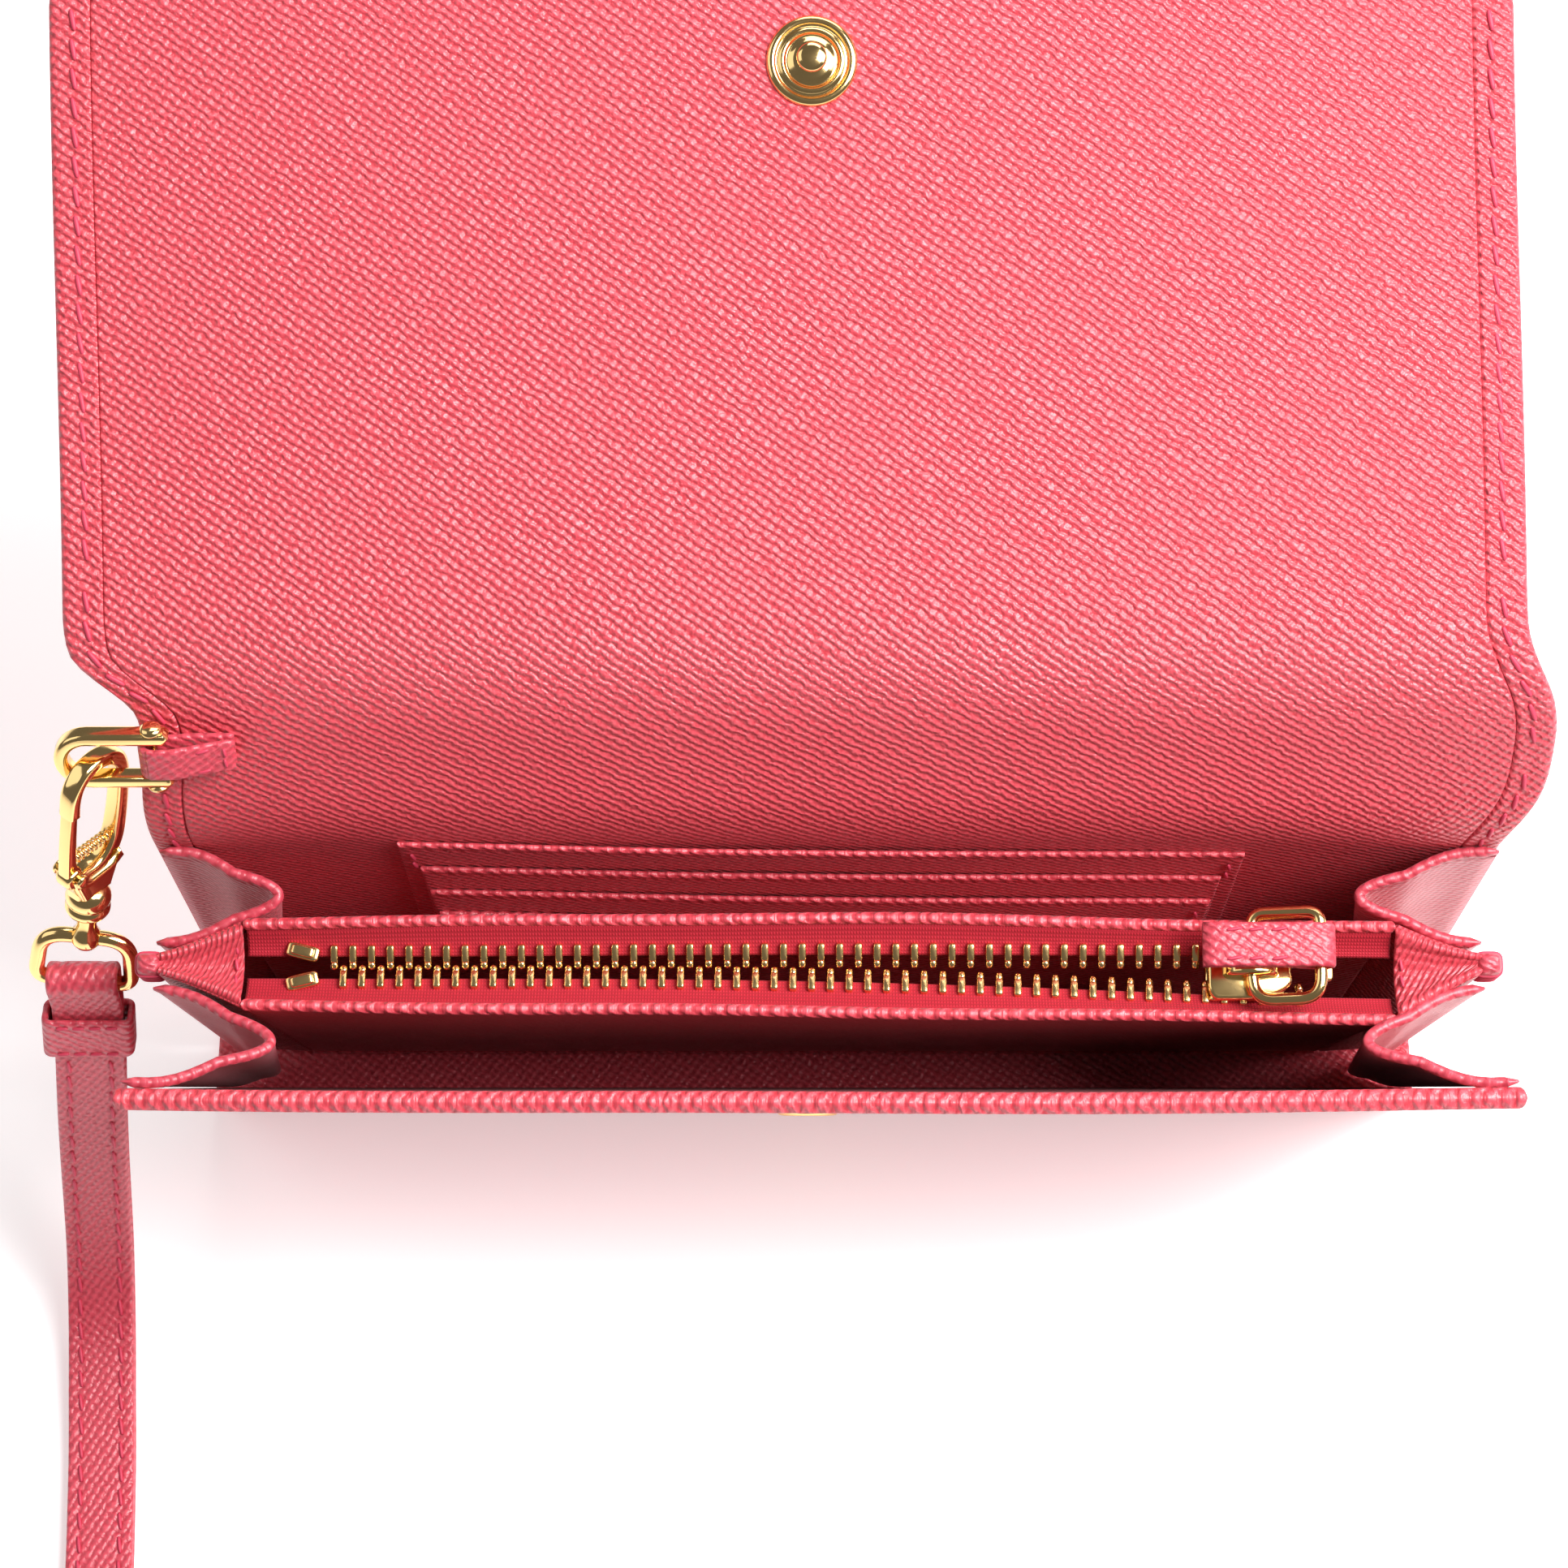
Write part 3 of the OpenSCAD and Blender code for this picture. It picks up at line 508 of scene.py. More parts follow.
def cut_plate(name, outlines, thick, bevel, place, mat, slot):
    """A plate cut to outlines in mm, holes after the first, with rounded edges.
    place maps (x, y, z) in mm to metres."""
    curve = bpy.data.curves.new(name, "CURVE")
    curve.dimensions = "2D"
    curve.fill_mode = "BOTH"
    for outline in outlines:
        s = curve.splines.new("POLY")
        s.points.add(len(outline) - 1)
        for q, p in zip(s.points, outline):
            q.co = (p[0], p[1], 0, 1)
        s.use_cyclic_u = True
    curve.offset = -bevel
    curve.extrude = thick / 2 - bevel
    curve.bevel_depth = bevel
    curve.bevel_resolution = 3
    holder = bpy.data.objects.new(name + " outline", curve)
    bpy.context.scene.collection.objects.link(holder)
    bpy.context.view_layer.update()
    flat = bpy.data.meshes.new_from_object(holder.evaluated_get(bpy.context.evaluated_depsgraph_get()))
    bpy.data.objects.remove(holder)
    points = place(np.array([v.co for v in flat.vertices]))
    faces = [tuple(f.vertices) for f in flat.polygons]
    o = add_mesh(name, points, faces, mat)
    weld = o.modifiers.new("weld", "WELD")
    weld.merge_threshold = 0.00001
    edge = o.modifiers.new("edges", "EDGE_SPLIT")
    edge.split_angle = math.radians(40)
    return o


def tube(name, path, radius, mat, slot, closed=False, sides=16):
    """A wire along points in mm. radius may be one number or one for each point."""
    p = np.asarray(path, float)
    n = len(p)
    radii = np.broadcast_to(np.asarray(radius, float), (n,))
    ahead = np.roll(p, -1, 0) - np.roll(p, 1, 0)
    if not closed:
        ahead[0], ahead[-1] = p[1] - p[0], p[-1] - p[-2]
    ahead /= np.linalg.norm(ahead, axis=1, keepdims=True)
    u = np.cross(ahead[0], (0.31, 0.83, 0.47))
    points, faces = [], []
    for i in range(n):
        u = u - ahead[i] * np.dot(u, ahead[i])
        u /= np.linalg.norm(u)
        v = np.cross(ahead[i], u)
        for k in range(sides):
            a = 2 * math.pi * k / sides
            points.append(p[i] + (u * math.cos(a) + v * math.sin(a)) * radii[i])
    for i in range(n if closed else n - 1):
        faces += band_faces(i * sides, (i + 1) % n * sides, sides)
    if not closed:
        faces.append(tuple(range(sides))[::-1])
        faces.append(tuple(range((n - 1) * sides, n * sides)))
    return add_mesh(name, np.array(points) * MM, faces, mat)


def spline(points, steps=8, closed=False):
    """A smooth line through points."""
    p = np.asarray(points, float)
    n = len(p)
    out = []
    for i in range(n if closed else n - 1):
        if closed:
            a, b, c, d = p[i - 1], p[i], p[(i + 1) % n], p[(i + 2) % n]
        else:
            a, b, c, d = p[max(i - 1, 0)], p[i], p[i + 1], p[min(i + 2, n - 1)]
        for k in range(steps):
            t = k / steps
            out.append(0.5 * (2 * b + (c - a) * t + (2 * a - 5 * b + 4 * c - d) * t * t
                + (3 * b - a - 3 * c + d) * t ** 3))
    if not closed:
        out.append(p[-1])
    return np.array(out)


# ---- Leather cover: back, spine and flap are one bent sheet, cut where each follows its own body ----

def bent_line(corners, reach):
    """Points (y, z) along a line whose corners are rounded off over a reach each side."""
    out = [np.array(corners[0], float)]
    for i in range(1, len(corners) - 1):
        p = np.array(corners[i], float)
        a = np.array(corners[i - 1], float) - p
        b = np.array(corners[i + 1], float) - p
        a, b = a / np.linalg.norm(a), b / np.linalg.norm(b)
        s, e = p + a * reach[i - 1], p + b * reach[i - 1]
        for t in np.linspace(0, 1, 14):
            out.append((1 - t) ** 2 * s + 2 * t * (1 - t) * p + t * t * e)
    out.append(np.array(corners[-1], float))
    line = np.array(out)
    s = np.concatenate([[0], np.cumsum(np.linalg.norm(np.diff(line, axis=0), axis=1))])
    return s, line


REAR_START = np.array((WALL_Y, 0)) + turned(HALF_T, BASE_T + 0.6, REAR_LEAN)
COVER_S, COVER_LINE = bent_line([REAR_START, REAR_FOLD, FLAP_FOLD, FLAP_END], (5, 8.5))
S_REAR = np.linalg.norm(REAR_FOLD - REAR_START)
S_FLAP = S_REAR + SPINE_H - 0.9
S_END = float(COVER_S[-1])
FLAP_CORNER = 8.5
FLAP_SKEW = 1.6
FLAP_SHIFT = 1.1


def cover_edges(s):
    """Left and right edge of the cover at a distance s from the base."""
    s = np.asarray(s, float)
    widen = smooth_step((s - (S_FLAP - 6)) / 8.5)
    left = REAR_LEFT + widen * (-FLAP_HALF - REAR_LEFT)
    lean_in = np.exp(-((s - (S_FLAP - 9)) / 7.0) ** 2)
    bulge = np.exp(-np.abs((s - (S_REAR + 11)) / 11.5) ** 3)
    left = left + 1.2 * lean_in
    right = BODY_RIGHT - 0.5 + 3.4 * bulge
    skew = FLAP_SKEW * smooth_step((s - S_FLAP) / (S_END - S_FLAP)) + FLAP_SHIFT * smooth_step((s
        - (S_FLAP - 4)) / 10)
    left, right = left - skew, right - skew
    into = np.clip(FLAP_CORNER - (S_END - s), 0, FLAP_CORNER)
    corner = FLAP_CORNER - np.sqrt(np.maximum(FLAP_CORNER ** 2 - into ** 2, 0))
    return left + corner, right - corner


def cover_at(s):
    """Places (y, z) of the cover's middle line at distances s, and the two parts of the way in from it."""
    y, z = (np.interp(s, COVER_S, COVER_LINE[:, k]) for k in (0, 1))
    dy, dz = (np.interp(s + 0.6, COVER_S, COVER_LINE[:, k]) - np.interp(s - 0.6, COVER_S, COVER_LINE[:, k])
              for k in (0, 1))
    size = np.hypot(dy, dz)
    return y, z, -dz / size, dy / size


def cover_grid(s_values, inset, lift, steps):
    """Middle points of the cover for distances s, edges drawn in by inset and lifted off its middle line."""
    y, z, in_y, in_z = cover_at(s_values)
    rows = []
    for i, s in enumerate(s_values):
        left, right = cover_edges(s)
        left, right = left + inset, right - inset
        f = (steps - steps[0]) / (steps[-1] - steps[0])
        x = left + f * (right - left)
        across = (x - left) / (right - left)
        sag = cover_sag(s, across) + lift
        rows.append(np.stack([x, y[i] + in_y[i] * sag, z[i] + in_z[i] * sag], -1))
    return np.array(rows)


def cover_sag(s, across):
    """Soft waves of the leather, mostly on the flap."""
    on_flap = smooth_step((s - S_FLAP) / 30)
    wave = 0.35 * np.sin(math.pi * across) * on_flap
    ripple = 0.16 * np.sin(2.1 * math.pi * across + 0.6) * np.sin((s - S_FLAP) / 17.0) * on_flap
    return wave + ripple


CUT_A = S_REAR - 9
CUT_B = S_REAR + 10.5
CUT_C = S_FLAP + 11
SPANS = {"back": (0.0, CUT_A), "back fold": (CUT_A, CUT_B), "flap fold": (CUT_B, CUT_C),
    "flap": (CUT_C, S_END)}
COVER_STEPS = stops(REAR_LEFT, BODY_RIGHT, HEM_STOPS, 4)


FREE_EDGE_ROWS = (9.0, 8.2, 7.5, 6.8, 6.2, 5.6, 5.3, 4.95, 4.75, 4.6, 4.45, 4.1, 3.5, 2.8, 2.1, 1.5, 1.0,
    0.7, 0.45, 0.25, 0.12, 0.04, 0)


def cover_rows(span, first, last):
    a, b = SPANS[span]
    count = max(6, int((b - a) / (1.2 if "fold" in span else 3)))
    rows = list(np.linspace(a, b, count))
    if last:
        rows = [r for r in rows if r < b - 9.2] + [b - d for d in FREE_EDGE_ROWS]
    if first:
        rows = [a + d for d in (0, 0.05, 0.2, 0.5, 1)] + [r for r in rows if r > a + 1.4]
    return np.array(rows)


def hem_relief(left, right, low, high):
    """The folded hem stands proud on the inside only; both faces dip a little under its stitches."""
    d = np.minimum(np.minimum(left, right), high)
    inside = np.where(d > HEM - 0.1, -0.42, 0.0)
    dip = -0.10 * np.exp(-((d - STITCH_IN) / 0.45) ** 2)
    return inside + dip, dip * 0.7


def edge_path(s_values, inset, side, lift):
    """A line in mm along one side edge of the cover."""
    points = []
    for s in s_values:
        left, right = cover_edges(s)
        x = left + inset if side < 0 else right - inset
        y, z, in_y, in_z = cover_at(s)
        points.append((x, y + in_y * lift, z + in_z * lift))
    return np.array(points)


COVER_BODIES = {"back": "body", "back fold": ("body", "spine"),
                "flap fold": ("spine", "flap"), "flap": "flap"}
FOLD_ENDS = {"back fold": (in_rear((0, 0.9, REAR_H - 7)), in_spine((0, 0, 7))),
             "flap fold": (in_spine((0, 0, SPINE_H - 8.5)), in_flap((0, 0, 9)))}


def follow(o, span):
    bodies = COVER_BODIES[span]
    if isinstance(bodies, str):
        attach(o, bodies)
    else:
        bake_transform(o)
    return o


COVER_NODES = {"back": ("rear_outer", "rear_board"), "back fold": ("spine_outer", "rear_fold_strip"),
               "flap fold": ("flap_fold_strip",), "flap": ("flap_outer", "flap_board")}
LINING_END = (1.0, 0.7, 0.45, 0.25, 0.1, 0)
LINING_NODES = {"back": ("rear_lining",), "back fold": ("spine_lining",),
                "flap fold": (), "flap": ("flap_lining",)}
for span in SPANS:
    first, last = span == "back", span == "flap"
    rows = cover_rows(span, first, last)
    middle = cover_grid(rows, 0, 0, COVER_STEPS)
    uv = np.stack([middle[..., 0], np.repeat(rows[:, None], middle.shape[1], 1)], -1)
    o = shell(span + " leather", middle, 2 * HALF_T, *OUTER, rim=0.8,
              relief=hem_relief, ends=(0, int(last), 1, 1), uvs=uv)
    follow(o, span)
    if COVER_NODES[span]:
        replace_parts(o, *COVER_NODES[span])
    # Lining, let in between the hems
    top = S_END - HEM - 0.05 if last else SPANS[span][1]
    rows_in = np.array([r for r in rows if r < top - 0.01] + [top])
    if last:
        rows_in = np.array([r for r in rows_in if r < top - 1.2] + [top - d for d in LINING_END])
    steps = stops(0, 100, (0, 0.05, 0.12, 0.25, 0.5, 1, 2, 4), 3)
    inner = cover_grid(rows_in, HEM + 0.05, HALF_T - 0.42 + 0.16, steps)
    uv = np.stack([inner[..., 0], np.repeat(rows_in[:, None], inner.shape[1], 1)], -1)
    li = shell(span + " lining", inner, 0.44, *LINING, rim=0.3, ends=(0, int(last), 1, 1), uvs=uv)
    follow(li, span)
    if LINING_NODES[span]:
        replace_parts(li, *LINING_NODES[span])
    # Stitches on both side hems, inside and out
    a, b = SPANS[span]
    rows_s = np.linspace(a + 0.1, b - (HEM + 2.5 if last else 0.1), 60)
    made = []
    for face, lift in (("in", SEAM_LIFT), ("out", -SEAM_LIFT)):
        for side in (-1, 1):
            path = edge_path(rows_s, STITCH_IN, side, lift)
            p, d = along(path, 3.3, 0.6, 0.6)
            ups = []
            for q in p:
                near = np.argmin(np.abs(COVER_LINE[:, 0] - q[1]) + np.abs(COVER_LINE[:, 1] - q[2]))
                t = COVER_LINE[min(near + 1, len(COVER_LINE) - 1)] - COVER_LINE[max(near - 1, 0)]
                ups.append((0, -t[1], t[0]) if lift > 0 else (0, t[1], -t[0]))
            made.append(stitches(f"{span} stitches {face} {side}", path, ups, "outer_leather", start=0.6,
                end=0.6, slant=10 * (1 if lift > 0 else -1)))
    follow(join(span + " stitches", made), span)

# Free edge of the flap: one row of stitches between the corners
end_left, end_right = cover_edges(S_END - STITCH_IN)
made = []
for lift in (SEAM_LIFT, -SEAM_LIFT):
    edge_y = np.interp(S_END - STITCH_IN, COVER_S, COVER_LINE[:, 0])
    edge_z = np.interp(S_END - STITCH_IN, COVER_S, COVER_LINE[:, 1])
    t = turned(0, 1, FLAP_LEAN)
    xs = np.linspace(end_left + 1.5, end_right - 1.5, 60)
    sag = np.array([cover_sag(S_END - STITCH_IN, (x - end_left) / (end_right - end_left)) for x in xs])
    path = np.stack([xs, edge_y - t[1] * (lift + sag), edge_z + t[0] * (lift + sag)], -1)
    sign = 1 if lift > 0 else -1
    made.append(stitches(f"flap end stitches {sign}", path, (0, -t[1] * sign, t[0] * sign), "outer_leather"))
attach(join("flap end stitches", made), "flap")

# ---- Base ----
base_rows = stops(-BASE_DEPTH / 2, BASE_DEPTH / 2, RIM_STOPS, 2)
base_cols = stops(BODY_LEFT, BODY_RIGHT, RIM_STOPS, 4)
base_grid = np.array([[(x, y, BASE_T / 2) for x in base_cols] for y in base_rows])
base = shell("base leather", base_grid, BASE_T, *OUTER, rim=0.7)
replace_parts(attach(base, "body"), "base_panel")


# ---- Card slots: stacked leaves, each with a creased top edge, bowed a little at the mouth ----
SLOT_W, SLOT_STEP, SLOT_TOP, SLOT_PITCH = 100, 7.4, 75, 0.65
SLOT_MID = 2


def crease(left, right, low, high):
    groove = -0.13 * np.exp(-((high - 1.5) / 0.28) ** 2) + 0.10 * np.exp(-((high - 0.6) / 0.5) ** 2)
    return groove, 0 * groove


def slot_tilt(x):
    """The leaves sit a little higher at the left."""
    return 4.6 - 0.044 * (np.asarray(x, float) + 47)


SLOT_LIP = (2.4, 2.0, 1.75, 1.6, 1.5, 1.4, 1.25, 1.0, 0.75, 0.5, 0.3, 0.14, 0.04, 0)
SLOT_NODES = ("card_slot_back", "card_slot_upper", "card_slot_middle", "card_slot_lower")
for i, slot_node in enumerate(SLOT_NODES):
    top = SLOT_TOP - i * SLOT_STEP
    low = max(8, top - 54)
    zs = np.concatenate([np.linspace(low, top - 3, 16), top - np.array(SLOT_LIP)])
    trim = 0.0 if i == 0 else 1.6 + 0.5 * i
    xs = stops(SLOT_MID - SLOT_W / 2 + trim, SLOT_MID + SLOT_W / 2 - trim, RIM_STOPS, 3)
    across = (xs - xs[0]) / (xs[-1] - xs[0])
    rows = []
    for z in zs:
        open_up = math.exp(-((top - z) / 9.0) ** 2)
        ripple = 0.1 * np.sin(5 * across + i) * open_up
        bow = (0.35 + 0.12 * i) * np.sin(math.pi * across) ** 1.4 * open_up + ripple
        rise = math.exp(-((top - z) / 16.0) ** 2)
        rows.append(at(in_rear, xs, -(i + 0.54) * SLOT_PITCH - bow, z + slot_tilt(xs) * rise))
    uv = grid_uv(xs, zs, 13 * i)
    leaf = shell(slot_node.replace("_", " "), rows, 0.6, *OUTER, rim=0.3, relief=crease, uvs=uv)
    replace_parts(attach(leaf, "body"), slot_node)

made = []
seam_high, seam_low = np.linspace(64, 74.4, 12), np.linspace(46, 59, 12)
slot_out = tuple(facing(in_rear, (0, -1, 0)))
for x in (SLOT_MID - SLOT_W / 2 + 1.5, SLOT_MID + SLOT_W / 2 - 1.5):
    made.append(stitches(f"slot seam {x}", at(in_rear, x, -SLOT_PITCH - 0.1, seam_high + slot_tilt(x)),
                         slot_out, "outer_leather", start=0.4, end=0.4, length=2.2, width=0.5))
for x in (SLOT_MID - SLOT_W / 2 + 4, SLOT_MID + SLOT_W / 2 - 4):
    made.append(stitches(f"slot seam low {x}", at(in_rear, x, -3.35 * SLOT_PITCH, seam_low),
                         slot_out, "outer_leather", start=0.4, end=0.4, length=2.2, width=0.5))
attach(join("card slot stitches", made), "body")


# ---- Gussets ----
GUSSET_T = 0.9


def fold_line(a, b, c, reach, bulge, count=26):
    """A pleat from a round its fold b to c, with soft sides."""
    a, b, c = (np.asarray(p, float) for p in (a, b, c))
    la, lc = np.linalg.norm(a - b), np.linalg.norm(c - b)
    s, e = b + (a - b) / la * min(reach, la * 0.6), b + (c - b) / lc * min(reach, lc * 0.6)
    first = a + (s - a) * np.linspace(0, 1, count // 3, endpoint=False)[:, None]
    t = np.linspace(0, 1, count)[:, None]
    bend = (1 - t) ** 2 * s + 2 * t * (1 - t) * b + t * t * e
    last = e + (c - e) * np.linspace(0, 1, count // 3 + 1)[1:, None]
    line = np.concatenate([first, bend, last])
    n = len(first)
    side = np.array((0, 1, 0)) * np.sign(a[1] - c[1])
    line[:n] += side * bulge * np.sin(np.linspace(0, math.pi, n))[:, None] * 0.8
    line[-len(last):] -= side * bulge * np.sin(np.linspace(math.pi, 0, len(last)))[:, None] * 0.6
    return line


def rolled(left, right, low, high):
    swell = 0.20 * np.exp(-((high - 0.7) / 0.6) ** 2) - 0.08 * np.exp(-((high - 1.9) / 0.3) ** 2)
    return swell, swell


GUSSET_LEVELS = np.concatenate([np.linspace(0, 0.955, 30),
    1 - np.array([0.038, 0.031, 0.027, 0.024, 0.02, 0.016, 0.012, 0.008, 0.005, 0.003, 0.0015, 0.0004, 0])])


def gusset(name, side, seam_y, fold_y, tack_y, bodies, start, end):
    edge = BODY_LEFT + 0.9 if side < 0 else BODY_RIGHT - 0.9
    seam_x = REAR_LEFT + 0.9 if side < 0 and seam_y[0] > 0 else edge
    low = BASE_T + 0.9
    rows = []
    for t in GUSSET_LEVELS:
        y = [v[0] + t * (v[1] - v[0]) for v in (seam_y, fold_y, tack_y)]
        z = [low + t * (h - low) for h in (77.4, 74.5, 73.2)]
        a = (seam_x, y[0], z[0])
        b = (edge - side * (9 + 11.5 * t), y[1], z[1])
        c = (edge - side * (4.4 - 2.2 * t), y[2], z[2])
        rows.append(fold_line(a, b, c, 3 + 5.5 * t, 0.5 + 0.9 * t))
    grid = np.array(rows)
    if side > 0:
        grid = grid[:, ::-1]
    if seam_y[0] < 0:
        grid = grid[:, ::-1]
    o = shell(name, grid, GUSSET_T, *GUSSET, rim=0.45, relief=rolled)
    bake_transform(o)
    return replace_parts(o, name.replace(" ", "_"))


REAR_GUSSET = ((5.1, -4.3), (3.5, -8.6), (2, -14.2))
FRONT_GUSSET = ((-5.4, -33.2), (-3.6, -27.6), (-2.4, -20))
for side, word in ((-1, "left"), (1, "right")):
    gusset(f"gusset rear {word}", side, *REAR_GUSSET, ("body", "pocket"), (0, 0.0006, 0.0410),
        (0, -0.0061, 0.0398))
    gusset(f"gusset front {word}", side, *FRONT_GUSSET, ("pocket", "front"), (0, -0.0112, 0.0377),
        (0, -0.0179, 0.0356))


# ---- Front ----
def front_relief(left, right, low, high):
    """A rolled top edge, with two creases below it outside."""
    roll = 0.36 * np.exp(-(np.maximum(np.abs(high - 1.25) - 0.55, 0) / 0.35) ** 2)
    groove = -0.15 * np.exp(-((high - 2.9) / 0.3) ** 2) - 0.09 * np.exp(-((high - 4.1) / 0.3) ** 2)
    return roll + groove, roll - 0.1 * np.exp(-((high - 2.9) / 0.3) ** 2)


front_top = FRONT_H + 2.6
FRONT_LIP = (5, 4.6, 4.3, 4.1, 3.9, 3.6, 3.3, 3.1, 2.9, 2.7, 2.5, 2.3, 2.1, 1.9, 1.6, 1.25, 0.9, 0.6, 0.4,
    0.2, 0.08, 0.02, 0)
front_z = np.concatenate([[-0.9, -0.86, -0.7, -0.4, 0, 0.6], np.linspace(1.5, front_top - 6, 26),
                          front_top - np.array(FRONT_LIP)])
front_x = stops(BODY_LEFT, BODY_RIGHT, RIM_STOPS, 3)


def front_bow(x, z):
    """The front bows gently out in the middle, most at its mouth."""
    f = (x - BODY_LEFT) / (BODY_RIGHT - BODY_LEFT)
    up = (np.clip(z, 0, 100) / front_top) ** 2
    return up * (0.55 * np.sin(math.pi * f) + 0.12 * np.sin(3.2 * math.pi * f + 0.4))


rows = [at(in_front, front_x, -front_bow(front_x, z), z) for z in front_z]
uv = grid_uv(front_x, front_z)
front = shell("front leather", rows, 2 * HALF_T, *OUTER, rim=0.9, relief=front_relief, uvs=uv)
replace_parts(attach(front, "front"), "front_outer", "front_board", "front_edge_roll", "front_fold_strip")

lining_z = stops(2.5, FRONT_H - 0.8, LINING_STOPS, 3)
lining_x = stops(BODY_LEFT + 2, BODY_RIGHT - 2, LINING_STOPS, 3)
rows = [at(in_front, lining_x, HALF_T - front_bow(lining_x, z) + 0.02, z) for z in lining_z]
uv = grid_uv(lining_x, lining_z)
# The front lining takes the rose leather darkened with painted shade for the inside of the compartment.
front_lining = shell("front lining", rows, 0.4, shade_darkened_lining, "lining_leather", rim=0.2, uvs=uv)
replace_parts(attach(front_lining, "front"), "front_lining")

front_out = facing(in_front, (0, -1, 0))
made = []
xs = np.linspace(BODY_LEFT + 1.5, BODY_RIGHT - 1.5, 80)
z = front_top - 4.1
path = at(in_front, xs, -HALF_T - front_bow(xs, z) + 0.04, z)
made.append(stitches("front edge stitches", path, front_out, "outer_leather"))
for x in (BODY_LEFT + STITCH_IN, BODY_RIGHT - STITCH_IN):
    zs = np.linspace(3, front_top - 5, 50)
    path = at(in_front, x, -HALF_T - front_bow(x, zs) + 0.04, zs)
    made.append(stitches("front side stitches", path, front_out, "outer_leather"))
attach(join("front stitches", made), "front")


# ---- Zipped middle pocket ----
WALL_TOP, WALL_FOOT = 4.9, 0.8
WALL_LIP = (2.8, 2.3, 2.0, 1.8, 1.6, 1.4, 1.1, 0.8, 0.5, 0.25, 0.1, 0.03, 0)
POCKET_MID = (POCKET_LEFT + POCKET_RIGHT) / 2


def zip_middle(x):
    """The zip wanders off its straight line a little: back at the left, forward at the right."""
    x = np.asarray(x, float)
    return -0.45 - 0.65 * (x - POCKET_MID) / 66 + 0.3 * np.cos((x - POCKET_MID) / 24)


def mouth(x):
    """Half width of the pocket's mouth, wider towards the slider."""
    x = np.asarray(x, float)
    return WALL_TOP + 0.4 + 0.004 * (x - POCKET_MID) + 0.25 * np.cos((x - POCKET_MID) / 30) + 0.12 * np.sin(
        x / 9)


def pocket_wall(name, side):
    zs = np.concatenate([np.linspace(3, POCKET_H - 3.5, 22), POCKET_H - np.array(WALL_LIP)])
    xs = stops(POCKET_LEFT, POCKET_RIGHT, RIM_STOPS, 3)
    rows = []
    for z in zs:
        f = (z - 3) / (POCKET_H - 3)
        y = side * (WALL_FOOT + f * (mouth(xs) - WALL_FOOT)) + zip_middle(xs) * f ** 5 * 0.85
        rows.append(at(in_pocket, xs, y, z + 0.12 * np.sin(xs / 11 + side) * f ** 8))
    uv = grid_uv(xs, zs, 20 * side)
    o = shell(name, rows, 1.0, *OUTER, rim=0.5, relief=rolled, uvs=uv)
    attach(o, "pocket")
    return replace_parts(o, name.replace(" ", "_"))


pocket_wall("pocket rear wall", 1)
pocket_wall("pocket front wall", -1)

seam_grid = np.array([[(x, y, 2.1) for x in stops(POCKET_LEFT, POCKET_RIGHT, RIM_STOPS, 4)]
    for y in stops(-1.25, 1.25, STRIP_STOPS, 0.5)])
seam = shell("pocket seam", in_pocket(seam_grid) / MM, 1.9, *OUTER, rim=0.5)
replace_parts(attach(seam, "pocket"), "pocket_seam")
foot_grid = np.array([[(x, 0.0, z) for x in stops(POCKET_LEFT, POCKET_RIGHT, RIM_STOPS, 4)]
    for z in stops(-0.6, 1.2, STRIP_STOPS, 0.5)])
foot = shell("pocket fold strip", in_pocket(foot_grid) / MM, 1.0, *GUSSET, rim=0.4)
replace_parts(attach(foot, "pocket"), "pocket_fold_strip")


def tooth_gap(x):
    """Half the gap between the rows, which opens towards the slider."""
    f = np.clip((np.asarray(x, float) + 56) / 108, 0, 1)
    return 0.30 + 1.1 * f ** 2.2


CHAIN_LEFT, TEETH, TOOTH_PITCH, TAPE_Z = -56, 52, 2.2, 70.5


def zip_tape(name, side):
    xs = stops(POCKET_LEFT + 0.3, POCKET_RIGHT - 0.3, (0, 0.05, 0.2, 0.5, 1), 1.4)
    rows = []
    for f in np.concatenate([[0, 0.02, 0.06, 0.12], np.linspace(0.2, 1, 12)]):
        inner = zip_middle(xs) + side * (tooth_gap(xs) + 1.0)
        outer = side * (mouth(xs) - 0.35) + zip_middle(xs) * 0.85
        y = inner + f * (outer - inner)
        z = TAPE_Z + 0.5 + 0.25 * np.sin(xs / 7.0 + side) * f * (1 - f) + 2.2 * f ** 1.7
        rows.append(at(in_pocket, xs, y, z))
    if side < 0:
        rows = rows[::-1]
    uv = grid_uv(xs, np.linspace(0, 3.6, len(rows)))
    o = shell(name, rows, 0.7, tape_cloth, "zip_tape", rim=0.3, uvs=uv)
    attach(o, "pocket")
    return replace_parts(o, name.replace(" ", "_"))


zip_tape("zip tape rear", 1)
zip_tape("zip tape front", -1)


def block(length, width, height, power=0.35, rings=8, sides=16):
    """A box with well rounded edges, as points and faces about its middle."""
    def curve(v):
        return math.copysign(abs(v) ** power, v)
    points = [(0, 0, -height / 2)]
    for i in range(1, rings):
        a = math.pi * (i / rings - 0.5)
        for k in range(sides):
            b = 2 * math.pi * (k + 0.5) / sides
            points.append((curve(math.cos(a)) * curve(math.cos(b)) * length / 2, curve(math.cos(a))
                * curve(math.sin(b)) * width / 2, curve(math.sin(a)) * height / 2))
    points.append((0, 0, height / 2))
    return np.array(points), ball_faces(rings, sides)


